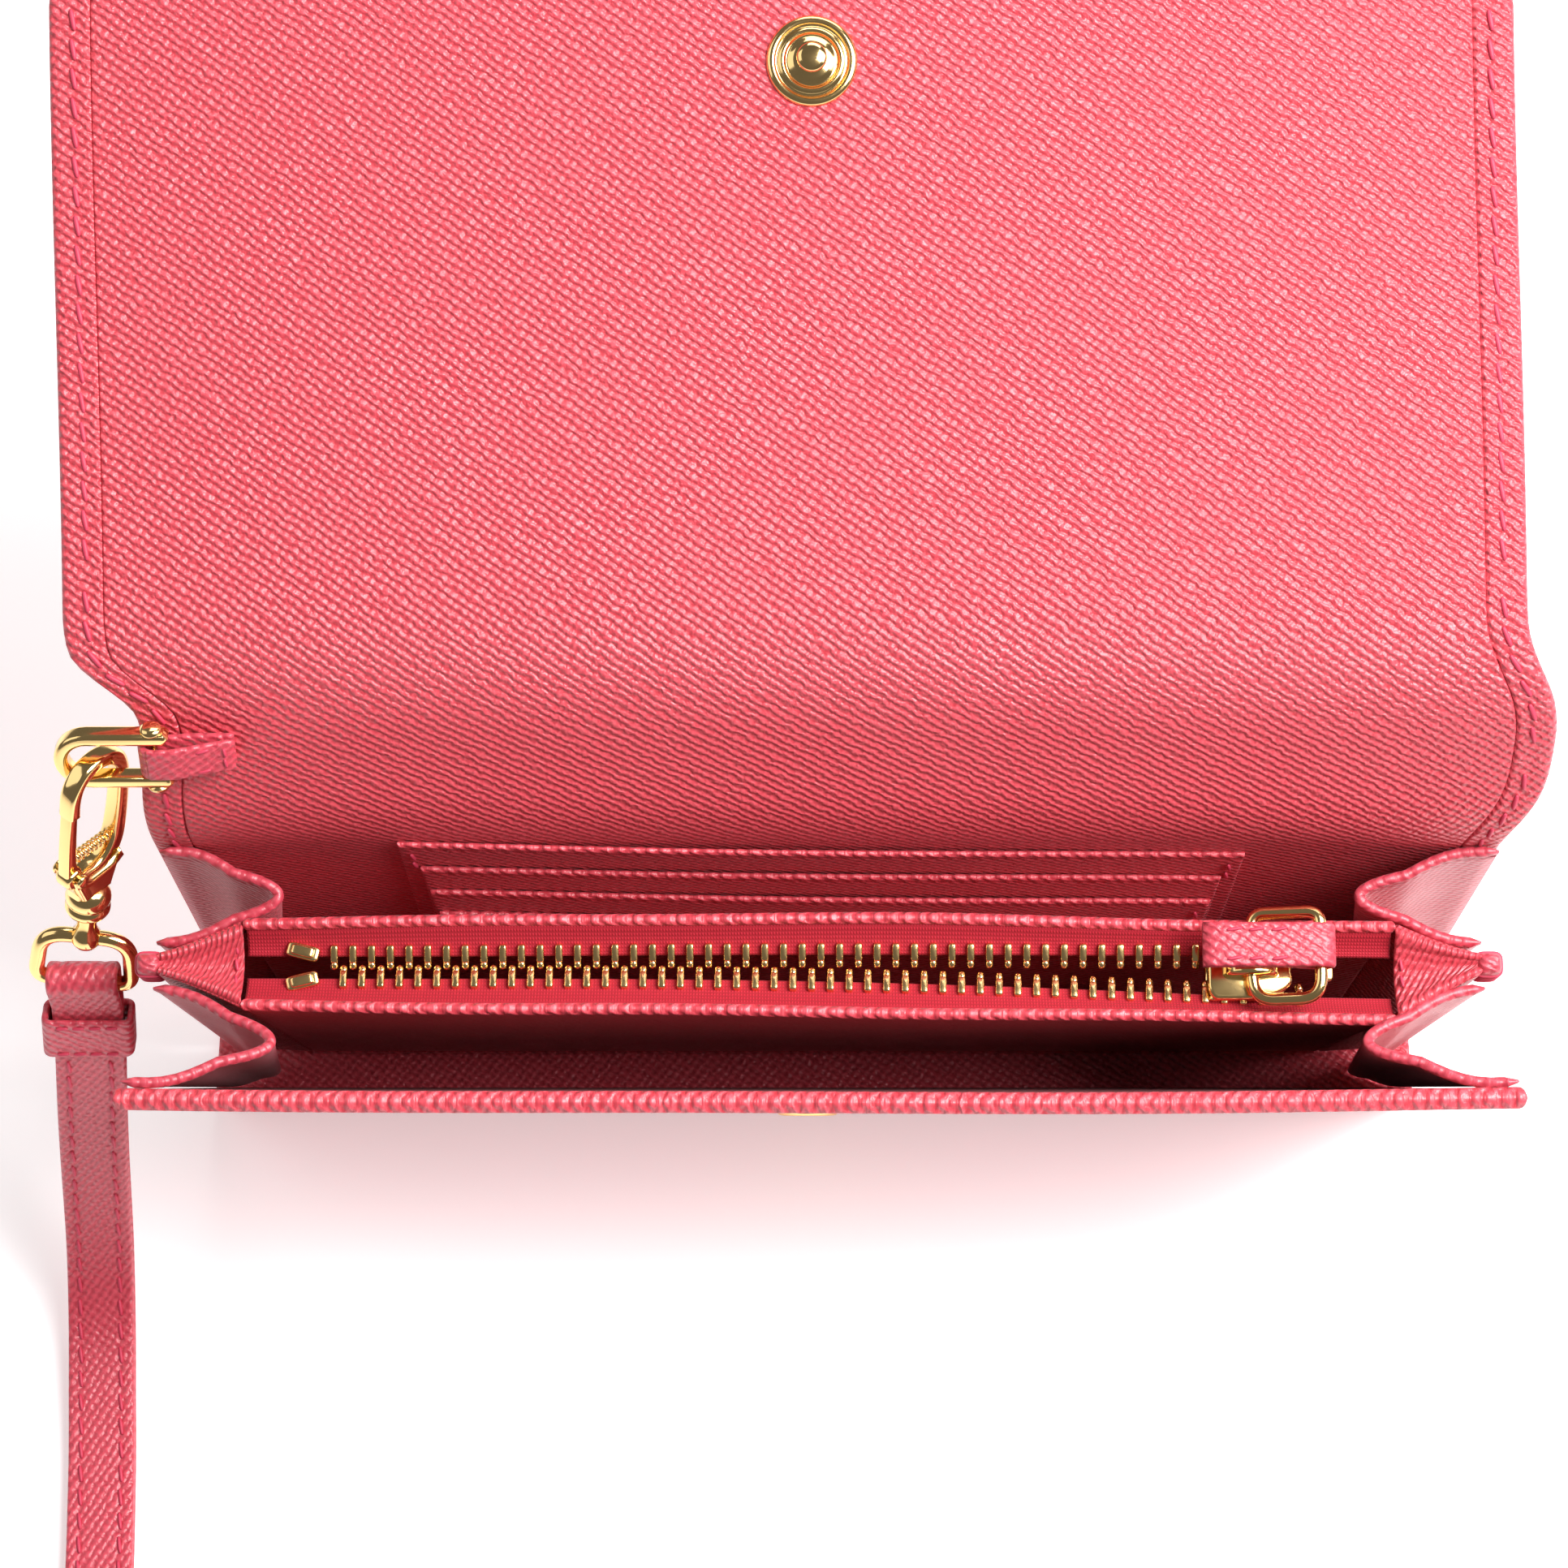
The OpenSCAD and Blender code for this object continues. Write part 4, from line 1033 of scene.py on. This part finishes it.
def zip_teeth(name, side):
    places = []
    for i in range(TEETH):
        x = CHAIN_LEFT + (i + (0 if side > 0 else 0.5)) * TOOTH_PITCH + 0.55
        slope = float(zip_middle(x + 1) - zip_middle(x - 1)) / 2 + side * float(tooth_gap(x + 1)
            - tooth_gap(x - 1)) / 2
        y = float(zip_middle(x)) + side * (float(tooth_gap(x)) + 0.95)
        tilt = side * math.radians(16)
        origin = in_pocket((x, y, TAPE_Z + 0.85)) / MM
        lean = about("x", math.radians(POCKET_LEAN))
        places.append(np.column_stack([lean @ about("z", math.atan(slope)) @ about("x", tilt), origin]))
    big, quads = block(0.9, 2.3, 1.5)
    big = big + np.array((0, side * 0.35, 0))
    nub, more = pill(1.3, 1.0, 1.15)
    nub = nub[:, [1, 0, 2]] + np.array((0, -side * 0.95, 0.15))
    points = np.concatenate([big, nub])
    faces = list(quads) + [tuple(i + len(big) for i in reversed(f)) for f in more]
    o = scatter(name, (points, faces), places, *ZIP_GOLD)
    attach(o, "pocket")
    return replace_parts(o, name.replace(" ", "_"))


zip_teeth("zip teeth rear", 1)
zip_teeth("zip teeth front", -1)


def placed_block(name, centre, size, place, mat, slot, turn=0.0, power=0.35):
    """One rounded block, centre and size in mm, turned about its own upright axis."""
    points, faces = block(*size, power=power, rings=12, sides=24)
    spin = about("z", math.radians(turn))
    return add_mesh(name, place(points @ spin.T + np.array(centre)), faces, mat)


made = []
for side in (-1, 1):
    for lift, long in ((0, 3.9), (0.5, 2.7)):
        made.append(placed_block("stop", (CHAIN_LEFT - 3.1, float(zip_middle(-59)) + side * 1.75,
            TAPE_Z + 1.3 + lift), (long, 1.8 - lift, 1.2), in_pocket, *ZIP_GOLD, turn=-side * 14))
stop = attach(join("zip top stops", made), "pocket")
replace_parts(stop, "zip_top_stops")
end_stop = placed_block("zip bottom stop", (CHAIN_LEFT + TEETH * TOOTH_PITCH + 2.4, 0, TAPE_Z + 1.3),
    (2, 3.8, 1.0), in_pocket, *ZIP_GOLD)
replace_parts(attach(end_stop, "pocket"), "zip_bottom_stop")


# Leather ends of the pocket, from its walls to the sewn tips
END_TIP = 3.9


def pocket_end(name, side):
    wall = POCKET_LEFT if side < 0 else POCKET_RIGHT
    tip = BODY_LEFT + END_TIP - 0.6 if side < 0 else BODY_RIGHT - END_TIP + 0.6
    rows = []
    for f in np.concatenate([[0, 0.01, 0.03], np.linspace(0.08, 1, 18)]):
        x = wall + f * (tip - wall)
        wide = 0.85 + (float(mouth(wall)) - 0.95) * (1 - f) ** 1.25
        foot = 0.6 + 0.4 * (1 - f)
        shift = float(zip_middle(wall)) * 0.85 * (1 - f)
        dip = 1.9 * (1 - f) ** 0.8 + 0.25
        half = [(-foot, 3.3), (-foot - 0.3 * (wide - foot), 25), (-foot - 0.68 * (wide - foot), 50),
            (-wide, 71.5), (-wide, 73.2), (-wide * 0.86, 73.9), (-wide * 0.6, 73.5 - dip * 0.35)]
        section = half + [(0, 73.6 - dip)] + [(-y, z) for y, z in half[::-1]]
        line = spline(section, 5)
        rows.append(np.stack([x + 0 * line[:, 0], line[:, 0] + shift * np.clip((line[:, 1] - 40) / 34, 0,
            1), line[:, 1]], -1))
    grid = in_pocket(rows) / MM
    if side < 0:
        grid = grid[::-1]
    o = shell(name, grid[:, ::-1], 0.7, *OUTER, rim=0.35)
    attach(o, "pocket")
    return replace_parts(o, name.replace(" ", "_"))


def bar_tack(name, side):
    centre = (BODY_LEFT + END_TIP - 1.4 if side < 0 else BODY_RIGHT - END_TIP + 1.4)
    made = [placed_block("tip", (centre, 0, POCKET_H - 2.9), (3.0, 2.7, 6.4), in_pocket, *GUSSET, power=0.5)]
    for k in range(4):
        z = POCKET_H - 4.6 + 1.15 * k
        loop = [(centre + 1.5 * math.copysign(abs(math.cos(a)) ** 0.5, math.cos(a)),
            1.36 * math.copysign(abs(math.sin(a)) ** 0.5, math.sin(a)), z + 0.2 * math.sin(a))
            for a in np.linspace(0, 2 * math.pi, 28, endpoint=False)]
        made.append(tube("thread", in_pocket(loop) / MM, 0.2, thread, "gusset_leather", closed=True, sides=8))
    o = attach(join(name, made), "pocket")
    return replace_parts(o, name.replace(" ", "_"))


for side, word in ((-1, "left"), (1, "right")):
    pocket_end(f"pocket end {word}", side)
    bar_tack(f"bar tack {word}", side)
    wall = POCKET_LEFT - 0.8 if side < 0 else POCKET_RIGHT + 0.8
    path = in_pocket([(wall, y, 73.75 - 1.5 * (1 - (y / 4.4) ** 2)) for y in np.linspace(-3.9, 3.9, 15)]) / MM
    row = stitches(f"pocket end stitches {word}", path, facing(in_pocket, (0, 0, 1)), "outer_leather",
                   start=0.3, end=0.3, pitch=2.0, length=1.5, width=0.45)
    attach(row, "pocket")


# ---- Snap ----
def flap_point(x, y, z):
    return in_flap((x, y, z)) / MM


SNAP_X, STUD_Z, SOCKET_Z = 0.5, FLAP_H - 14.5, 14.9
stud_axis = facing(in_flap, (0, -1, 0))
stud_lift = float(cover_sag(S_FLAP + STUD_Z, 0.5)) - 0.05
stud = lathe("snap stud", [(5.1, -0.2), (5.12, 0.15), (5.0, 0.42), (4.75, 0.6), (4.45, 0.66), (4.2, 0.58),
    (4.05, 0.42), (3.9, 0.40), (3.75, 0.5), (3.6, 0.68), (3.35, 0.76), (3.1, 0.70), (2.95, 0.55),
    (2.8, 0.52), (2.6, 0.62), (2.35, 0.86), (2.0, 1.0), (1.6, 1.05), (1.35, 1.15), (1.25, 1.4), (1.3, 1.75),
    (1.55, 2.1), (1.72, 2.45), (1.70, 2.75), (1.5, 3.0), (1.1, 3.16), (0.5, 3.22), (0.0, 3.23)],
    flap_point(SNAP_X, -HALF_T - stud_lift, STUD_Z), stud_axis, *HARDWARE, sides=72)
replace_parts(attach(stud, "flap"), "snap_stud", "snap_stud_rivet")
cap = lathe("snap cap", [(0, -0.2), (4.9, -0.2), (4.9, 0.1), (4.7, 0.35), (4.2, 0.5), (2.5, 0.62), (0, 0.66)],
            flap_point(SNAP_X, HALF_T - stud_lift - 0.1, STUD_Z), -stud_axis, *HARDWARE, sides=64)
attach(cap, "flap")
socket = lathe("snap socket", [(2.0, -0.2), (4.9, -0.2), (4.95, 0.2), (4.8, 0.5), (4.45, 0.72), (4.15, 0.9),
    (4.0, 1.3), (3.8, 1.55), (3.4, 1.64), (2.9, 1.62), (2.5, 1.5), (2.25, 1.25), (2.15, 0.9), (2.0, 0.3)],
    in_front((SNAP_X, -HALF_T, SOCKET_Z)) / MM, front_out, *HARDWARE, sides=64)
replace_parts(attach(socket, "front"), "snap_socket", "snap_socket_rivet")


# ---- Slider, puller and tab ----
SLIDER_X, SLIDER_Y = 52, -0.35
ROOF, FLOOR_Z, LOOP_Z, LOOP_LEN, LOOP_TILT = 72.3, 68.6, 75.2, 8, 15


def level(z):
    """Puts a flat outline at a height in the pocket, over the slider's place."""
    def place(p):
        return in_pocket(np.stack([p[:, 0] + SLIDER_X, p[:, 1] + SLIDER_Y, p[:, 2] + z], -1))
    return place


def on_edge(p):
    return in_pocket(np.stack([p[:, 0] + SLIDER_X, p[:, 2] + SLIDER_Y, p[:, 1]], -1))


slider_half = [(-5, -2.6, 1.2), (-4.4, -3.9, 1.2), (0.5, -3.9, 2), (3.4, -3.2, 1.5), (5, -1.9, 1.2)]
slider_outline = round_corners(mirrored(slider_half, [(4.6, 0, 1.4)]), 1)
post_foot = in_pocket((SLIDER_X - 2.5, SLIDER_Y, FLOOR_Z)) / MM
made = [cut_plate("plate", [slider_outline], 1.35, 0.45, level(ROOF + 0.62), *SLIDER_GOLD),
    cut_plate("floor", [slider_outline], 1.2, 0.4, level(FLOOR_Z + 0.6), *SLIDER_GOLD),
    lathe("post", [(0.6, 0), (0.6, 3.7)], post_foot, facing(in_pocket, (0, 0, 1)), *SLIDER_GOLD, sides=20)]
arch = round_corners([(-3.4, ROOF + 0.9, 0.3), (-3.0, ROOF + 3.1, 1.6), (-1.2, ROOF + 4.35, 1.4),
    (1.2, ROOF + 4.35, 1.4), (3.0, ROOF + 3.1, 1.6), (3.4, ROOF + 0.9, 0.3)], 1)
hole = [(0.95 * math.cos(a), LOOP_Z + 0.95 * math.sin(a))
        for a in np.linspace(0, 2 * math.pi, 24, endpoint=False)]
made.append(cut_plate("arch", [arch, hole], 2.7, 0.5, on_edge, *SLIDER_GOLD))
for side in (-1, 1):
    made.append(placed_block("flange", (SLIDER_X - 1.8, SLIDER_Y + side * 3.55, ROOF - 0.2),
        (6.0, 0.75, 1.7), in_pocket, *SLIDER_GOLD))
settle(made)
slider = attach(join("zip slider", made), "slider")
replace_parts(slider, "slider_body")


def loop_frame(points):
    """Points of the puller's own tilted plane, in mm, to the row frame in mm."""
    a = math.radians(LOOP_TILT)
    p = np.asarray(points, float)
    return in_pocket(np.stack([SLIDER_X + p[..., 0] * math.cos(a) - p[..., 2] * math.sin(a), p[..., 1],
                               LOOP_Z + p[..., 0] * math.sin(a) + p[..., 2] * math.cos(a)], -1)) / MM


ring_line = round_corners([(0, -4.6, 2.6), (LOOP_LEN, -4.6, 2.6), (LOOP_LEN, 5.6, 1.6), (0, 5.6, 1.6)], 2,
    steps=10)
puller = tube("puller loop", loop_frame([(p[0], p[1], 0) for p in ring_line]), 0.75, *SLIDER_GOLD,
    closed=True, sides=20)
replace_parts(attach(puller, "puller_loop"), "puller_loop")

TAB_AT = np.array((SLIDER_X + LOOP_LEN * math.cos(math.radians(LOOP_TILT)), 1.5, LOOP_Z + LOOP_LEN
    * math.sin(math.radians(LOOP_TILT))))
wrap = [(1.32 * math.sin(a), 1.32 * math.cos(a)) for a in np.linspace(0.1, math.pi - 0.35, 12)]
tab_line = spline([(-13.8, 1.42), (-9, 1.45), (-4, 1.42), (-1.3, 1.4)] + wrap + [(-2.2, -0.35), (-4, 0.42),
    (-9, 0.5), (-13.8, 0.5)], 3)
tab_y = stops(-2.6, 2.6, TAB_STOPS, 0.8)
tab_rows = np.array([[(TAB_AT[0] + x, TAB_AT[1] + y, TAB_AT[2] + z) for x, z in tab_line] for y in tab_y])
tab = shell("pull tab", in_pocket(tab_rows) / MM, 0.85, strap_leather, "outer_leather", rim=0.4,
    uvs=row_uv(tab_rows, tab_y))
up = facing(in_pocket, (0, 0, 1))
made = [tab]
for side in (1, -1):
    path = in_pocket([TAB_AT + (x, side * 1.7, 1.84) for x in np.linspace(-13, -2.2, 12)]) / MM
    made.append(stitches("tab stitches", path, up, "outer_leather", start=0.3, end=0.3, pitch=2.6,
        length=1.9, width=0.45))
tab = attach(join("pull tab", made), "pull_tab")
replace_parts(tab, "pull_tab")


# ---- Ring on its sewn tab ----
RING_X, RING_Y, RING_Z, RING_HALF, RING_T, ARM = -74, -3, 13, 4, 1.6, 7.4


def ring_place(p):
    return in_spine(np.stack([p[:, 0] + RING_X, p[:, 2] + RING_Y, p[:, 1] + RING_Z], -1))


def half_turn(r, a, b, n=16):
    return [(-ARM + r * math.cos(t), r * math.sin(t)) for t in np.linspace(a, b, n)]


inner = RING_HALF - RING_T
u_line = ([(1.4, RING_HALF)] + half_turn(RING_HALF, math.pi / 2, 1.5 * math.pi) + [(1.4, -RING_HALF)]
    + [(1.9, -RING_HALF + 0.6), (1.4, -inner)] + half_turn(inner, 1.5 * math.pi, math.pi / 2)
    + [(1.4, inner), (1.9, RING_HALF - 0.6)])
d_ring = cut_plate("d ring", [u_line], 2.2, 0.5, ring_place, *HARDWARE)
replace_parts(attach(d_ring, "d_ring"), "d_ring")
pin = lathe("ring pin", [(0, -0.75), (0.8, -0.72), (1.2, -0.5), (1.3, -0.15), (1.3, 0), (0.5, 0.02),
    (0.5, 7.98), (1.3, 8), (1.3, 8.15), (1.2, 8.5), (0.8, 8.72), (0, 8.75)],
    in_spine((RING_X, RING_Y, RING_Z - RING_HALF)) / MM, facing(in_spine, (0, 0, 1)), *HARDWARE, sides=32)
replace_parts(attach(pin, "d_ring"), "d_ring_pin")

wrap = [(RING_X - 1.35 * math.sin(a), RING_Y - 1.35 * math.cos(a)) for a in np.linspace(0.15,
    math.pi - 0.35, 12)]
tab_path = spline([(-65, -2.5), (-67, -2.95), (-70, -3.8), (-72, -4.3)] + wrap + [(-72, -1.75),
    (-70, -1.55), (-67, -1.5), (-65, -1.5)], 3)
tab_z = stops(-2.2, 2.2, TAB_STOPS, 0.8)
rows = np.array([[(x, y, RING_Z + z) for x, y in tab_path] for z in tab_z])
ring_tab = shell("ring tab", in_spine(rows) / MM, 0.85, strap_leather, "outer_leather", rim=0.4,
                 uvs=row_uv(rows, tab_z))
tab_up = facing(in_spine, (0, -1, 0))
made = [ring_tab]
for z in (-1.5, 1.5):
    made.append(stitches("ring tab stitches",
        in_spine([(x, -2.95 - 0.22 * (-65 - x), RING_Z + z) for x in np.linspace(-70.5, -66.4, 8)]) / MM,
        tab_up, "outer_leather", start=0.2, end=0.2, pitch=2.2, length=1.6, width=0.42))
made.append(stitches("ring tab end",
    in_spine([(-66, -3.15, RING_Z + z) for z in np.linspace(-1.9, 1.9, 6)]) / MM, tab_up, "outer_leather",
    start=0.1, end=0.1, pitch=1.6, length=1.3, width=0.42))
ring_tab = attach(join("ring tab", made), "spine")
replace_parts(ring_tab, "ring_tab")


# ---- Clasp ----
HANG = np.concatenate([[-81.2], REAR_FOLD + turned(RING_Y, RING_Z - RING_HALF + RING_T / 2, SPINE_LEAN)])
CLASP_SWING, HOOK_TURN = 9.2, 55
CLASP = about("x", math.radians(SPINE_LEAN)) @ about("y", math.radians(CLASP_SWING))
HOOK = CLASP @ about("z", math.radians(HOOK_TURN))


def in_clasp(points):
    return np.asarray(points, float) @ CLASP.T + HANG


def in_hook(points):
    return np.asarray(points, float) @ HOOK.T + HANG


def hook_place(p):
    return in_hook(np.stack([p[:, 0], p[:, 2], p[:, 1]], -1)) * MM


hook_line = round_corners([(-4.8, -3.4, 0.3), (-4.85, 0.6, 2.4), (-2.6, 3.4, 2), (0.4, 3.9, 2),
    (3.6, 3.0, 2.2), (4.9, 0, 2.6), (5.1, -6.5, 3), (4.7, -11.8, 2.6), (3.0, -14.8, 1.5), (2.8, -17.7, 0.3),
    (-2.8, -17.7, 0.3), (-3.1, -15.3, 1.2), (-4.9, -14.2, 1), (-4.8, -12.4, 0.8), (-3.0, -11.9, 0.5),
    (-2.2, -13.4, 0.6), (0.8, -13.4, 1.6), (2.7, -11.2, 2), (3.3, -6.5, 3), (3.25, -0.8, 2.2),
    (1.9, 1.5, 1.6), (-0.4, 2.2, 1.6), (-2.6, 1.3, 1.4), (-3.25, -0.8, 1.4), (-3.2, -3.4, 0.3)], 1)
body = cut_plate("clasp hook", [hook_line], 2.4, 0.6, hook_place, *HARDWARE)
shank = cut_plate("clasp shank",
    [round_corners([(-4.4, -13.0, 1), (-3.4, -15.4, 1.2), (-2.3, -17.9, 0.4), (2.3, -17.9, 0.4),
    (3.2, -15.2, 1.4), (4.1, -12.6, 1), (2.0, -14.0, 1), (-1.6, -14.2, 0.6)], 1)], 3.5, 0.9, hook_place,
    *HARDWARE)
collar = lathe("clasp collar", [(1.35, -21.5), (2.1, -21.5), (2.5, -21.3), (2.68, -20.9), (2.68, -20.4),
    (2.45, -20.1), (2.4, -19.9), (2.65, -19.6), (2.72, -19.0), (2.6, -18.3), (2.3, -17.8), (1.9, -17.3),
    (1.0, -17.1)], HANG, CLASP[:, 2], *HARDWARE, sides=40)
made = [body, shank, collar]
settle(made)
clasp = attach(join("clasp body", made), "clasp")
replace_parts(clasp, "clasp_body")

gate_line = round_corners([(-4.75, -2.4, 0.5), (-3.45, -2.4, 0.4), (-3.4, -7, 3), (-3.2, -11.4, 1.2),
    (-2.1, -12.6, 0.8), (-2.3, -14.2, 0.8), (-4.0, -14.5, 0.8), (-4.7, -13.2, 1.2), (-4.85, -8, 3)], 1)
gate = cut_plate("clasp gate", [gate_line], 1.8, 0.4, hook_place, *HARDWARE)
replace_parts(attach(gate, "clasp_gate"), "clasp_gate")
rivet = lathe("gate rivet", [(0, -2.25), (0.5, -2.22), (0.85, -2.05), (0.95, -1.8), (0.7, -1.78),
    (0.7, 1.78), (0.95, 1.8), (0.85, 2.05), (0.5, 2.22), (0, 2.25)], in_hook((-3.3, 0, -13.2)), HOOK[:, 1],
    *HARDWARE, sides=28)
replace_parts(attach(rivet, "clasp"), "gate_rivet")
coil = [(-3.0 + 6.2 * i / 130, 0.62 * math.cos(i * 0.42), -10.9 + 0.62 * math.sin(i * 0.42))
    for i in range(131)]
spring = tube("gate spring", in_hook(coil), 0.17, *HARDWARE, sides=8)
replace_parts(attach(spring, "clasp"), "gate_spring")

BAR_TOP, BAR_LOW, RING_W, RING_BAR = -26, -33.5, 13.4, 1.9
post = lathe("swivel post", [(0, -27.2), (1.5, -27.0), (1.9, -26.2), (1.7, -25.2), (1.3, -24.5),
    (1.15, -23.6), (1.25, -22.4), (1.25, -21.4), (1.1, -19.5), (0, -19.4)], HANG, CLASP[:, 2], *HARDWARE,
    sides=32)
half = (RING_W - RING_BAR) / 2
ring_line = round_corners([(-half * 0.9, BAR_TOP, 3.2), (half * 0.9, BAR_TOP, 3.2), (half, BAR_LOW, 1.9),
    (-half, BAR_LOW, 1.9)], 2, steps=10)
strap_ring = tube("strap ring", in_clasp([(p[0], 0, p[1]) for p in ring_line]), RING_BAR / 2, *HARDWARE,
    closed=True, sides=24)
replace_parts(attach(post, "strap_ring"), "swivel_post")
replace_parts(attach(strap_ring, "strap_ring"), "strap_ring")


# ---- Wrist strap: one doubled loop of leather through the ring ----
STRAP_W, STRAP_T, STRAP_GAP = 8.6, 1.1, 0.03
RING_AT = in_clasp((0, 0, BAR_LOW))
strap_middle = [(-86.6, -16.3, 59), (-87.5, -19, 50), (-88.7, -22, 40), (-89.8, -25, 30), (-90.8, -28, 20),
    (-91.4, -31, 13), (-91.8, -35, 7.5), (-91.8, -41, 4), (-91.5, -48, 2.6), (-90.8, -60, 1.7),
    (-90.0, -80, 1.7), (-89.9, -110, 1.7), (-90, -137.6, 1.7)]
middle = spline(strap_middle, 6)
ahead = np.gradient(middle, axis=0)
side_way = np.stack([0 * ahead[:, 0], -ahead[:, 2], ahead[:, 1]], -1)
side_way /= np.linalg.norm(side_way, axis=1, keepdims=True)
layer = STRAP_T / 2 + STRAP_GAP
puff = np.minimum(np.linspace(0, 30, len(middle)), 1)[:, None] * 0.05
upper, lower = middle + side_way * (layer + puff * 0.5), middle - side_way * (layer + puff * 0.5)
over = [RING_AT + np.array((0, 1.72 * math.cos(a), 1.72 * math.sin(a)))
    for a in np.linspace(math.radians(-12), math.radians(192), 14)]
turn_end = [middle[-1] + side_way[-1] * layer * math.cos(a) + np.array((0, -1, 0)) * (layer + 0.25)
    * math.sin(a) for a in np.linspace(0.3, math.pi - 0.3, 7)]
loop_line = np.concatenate([upper[::-1], over, lower, turn_end[::-1], upper[-1:]])


def strap_dip(left, right, low, high):
    d = np.minimum(low, high)
    dip = -0.09 * np.exp(-((d - 1.7) / 0.35) ** 2)
    return dip, dip


strap_x = stops(-STRAP_W / 2, STRAP_W / 2, (0, 0.04, 0.14, 0.3, 0.55, 0.9, 1.2, 1.45, 1.7, 1.95, 2.3), 0.9)
rows = np.array([[p + (x, 0, 0) for p in loop_line] for x in strap_x])
strap = shell("wrist strap", rows, STRAP_T, *STRAP, rim=0.42, ends=(1, 1, 0, 0), relief=strap_dip,
              uvs=row_uv(rows, strap_x))
made = [strap]
for x in (-STRAP_W / 2 + 1.7, STRAP_W / 2 - 1.7):
    for line, sign in ((upper, 1), (lower, -1)):
        path = line + np.array((x, 0, 0)) + side_way * sign * (STRAP_T / 2 - 0.04)
        p, _ = along(path, 3.1, 6, 2)
        ups = [side_way[np.argmin(np.linalg.norm(path - q, axis=1))] * sign for q in p]
        made.append(stitches("strap stitches", path, ups, "strap_leather", pitch=3.1, start=6, end=2,
            length=2.3, width=0.5, slant=7))
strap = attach(join("wrist strap", made), "strap")
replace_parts(strap, "strap_upper", "strap_lower")

# Keeper band, sewn along both edges
k_mid = (np.array(strap_middle[0]) + np.array(strap_middle[1])) / 2
k_way = np.array(strap_middle[1], float) - np.array(strap_middle[0])
k_way /= np.linalg.norm(k_way)
k_out = np.array((0, -k_way[2], k_way[1])) / np.linalg.norm(k_way[1:])
k_wide = np.array((1.0, 0, 0))
band = round_corners([(-5.25, -1.75, 0.9), (5.25, -1.75, 0.9), (5.25, 1.75, 0.9), (-5.25, 1.75, 0.9)], 1,
    steps=6)
band = [band[-1]] + list(band)
turned_band = [(p[0] * 0.985, p[1] * 0.97) for p in band]
hs = stops(-3.4, 3.4, (0, 0.04, 0.14, 0.3, 0.6, 0.8, 1.0, 1.3), 0.9)
rows = np.array([[k_mid + k_wide * p[0] + k_out * p[1] - k_way * h for p in turned_band] for h in hs])
keeper = shell("strap keeper", rows, 0.8, *STRAP, rim=0.38, ends=(1, 1, 0, 0),
               uvs=row_uv(rows, hs))
made = [keeper]
for h in (-2.5, 2.5):
    for sign in (-1, 1):
        path = [k_mid + k_wide * x + k_out * sign * 2.12 - k_way * h for x in np.linspace(-4.4, 4.4, 12)]
        made.append(stitches("keeper stitches", path, k_out * sign, "strap_leather", pitch=2.0, start=0.3,
            end=0.3, length=1.5, width=0.42, slant=5))
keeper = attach(join("strap keeper", made), "strap")
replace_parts(keeper, "strap_keeper")


# ---- Finishes for the CAD nodes behind the pieces ----
NODE_FINISH = {"outer_leather": outer_leather, "lining_leather": lining_leather,
    "gusset_leather": gusset_leather, "strap_leather": strap_leather, "stiffening_board": board,
    "zip_tape": tape_cloth, "gold_zip": gold_soft, "gold_hardware": gold}
for part in frame["record"]["subparts"]:
    cad = frame["nodes"][part["node"]]
    cad.data.materials.clear()
    cad.data.materials.append(NODE_FINISH[part["material_slot"]])

# ---- Floor, light and camera ----
floor_mesh = bpy.data.meshes.new("floor")
reach = 1.6
floor_mesh.from_pydata([(-reach, -reach, 0), (reach, -reach, 0), (reach, reach, 0), (-reach, reach, 0)], [],
    [(0, 1, 2, 3)])
floor = bpy.data.objects.new("floor", floor_mesh)
bpy.context.scene.collection.objects.link(floor)
paper, paper_tree, paper_surface = material("white paper")
feed(paper_tree, paper_surface, {"Base Color": (0.93, 0.93, 0.93, 1), "Roughness": 0.9,
                                 "Emission Color": (1, 1, 1, 1), "Emission Strength": 0.42})
floor_mesh.materials.append(paper)

world = bpy.data.worlds.new("studio")
world.use_nodes = True
world.node_tree.nodes["Background"].inputs[0].default_value = (1.0, 0.985, 0.98, 1)
world.node_tree.nodes["Background"].inputs[1].default_value = 0.15
bpy.context.scene.world = world
bpy.context.scene.view_settings.view_transform = "Standard"


def softbox(name, place, aim, size, power):
    light = bpy.data.lights.new(name, "AREA")
    light.shape = "RECTANGLE"
    light.size, light.size_y = size
    light.energy = power
    o = bpy.data.objects.new(name, light)
    bpy.context.scene.collection.objects.link(o)
    o.location = place
    o.rotation_euler = (Vector(aim) - Vector(place)).to_track_quat("-Z", "Y").to_euler()


softbox("key", (0.44, -0.02, 0.46), (0.03, 0.03, 0.10), (0.36, 0.36), 2.2)
softbox("sheen", (0.26, -0.05, 0.57), (0.06, 0.06, 0.13), (0.26, 0.26), 4.3)
softbox("rim", (0.10, 0.45, 0.55), (0, 0.03, 0.10), (0.5, 0.3), 1.6)
softbox("fill", (-0.50, 0.05, 0.45), (0, 0, 0.08), (0.45, 0.45), 0.7)

VIEW_TILT = 25
VIEW_AIM = np.array((-2.6, -6.0, 99.6))
VIEW_DISTANCE = 434
camera_data = bpy.data.cameras.new("camera")
camera_data.sensor_width = 36
camera_data.lens = 88.75
camera = bpy.data.objects.new("camera", camera_data)
bpy.context.scene.collection.objects.link(camera)
tilt = math.radians(VIEW_TILT)
camera.location = (VIEW_AIM + VIEW_DISTANCE * np.array((0, -math.sin(tilt), math.cos(tilt)))) * MM
camera.rotation_euler = (tilt, 0, 0)
bpy.context.scene.camera = camera
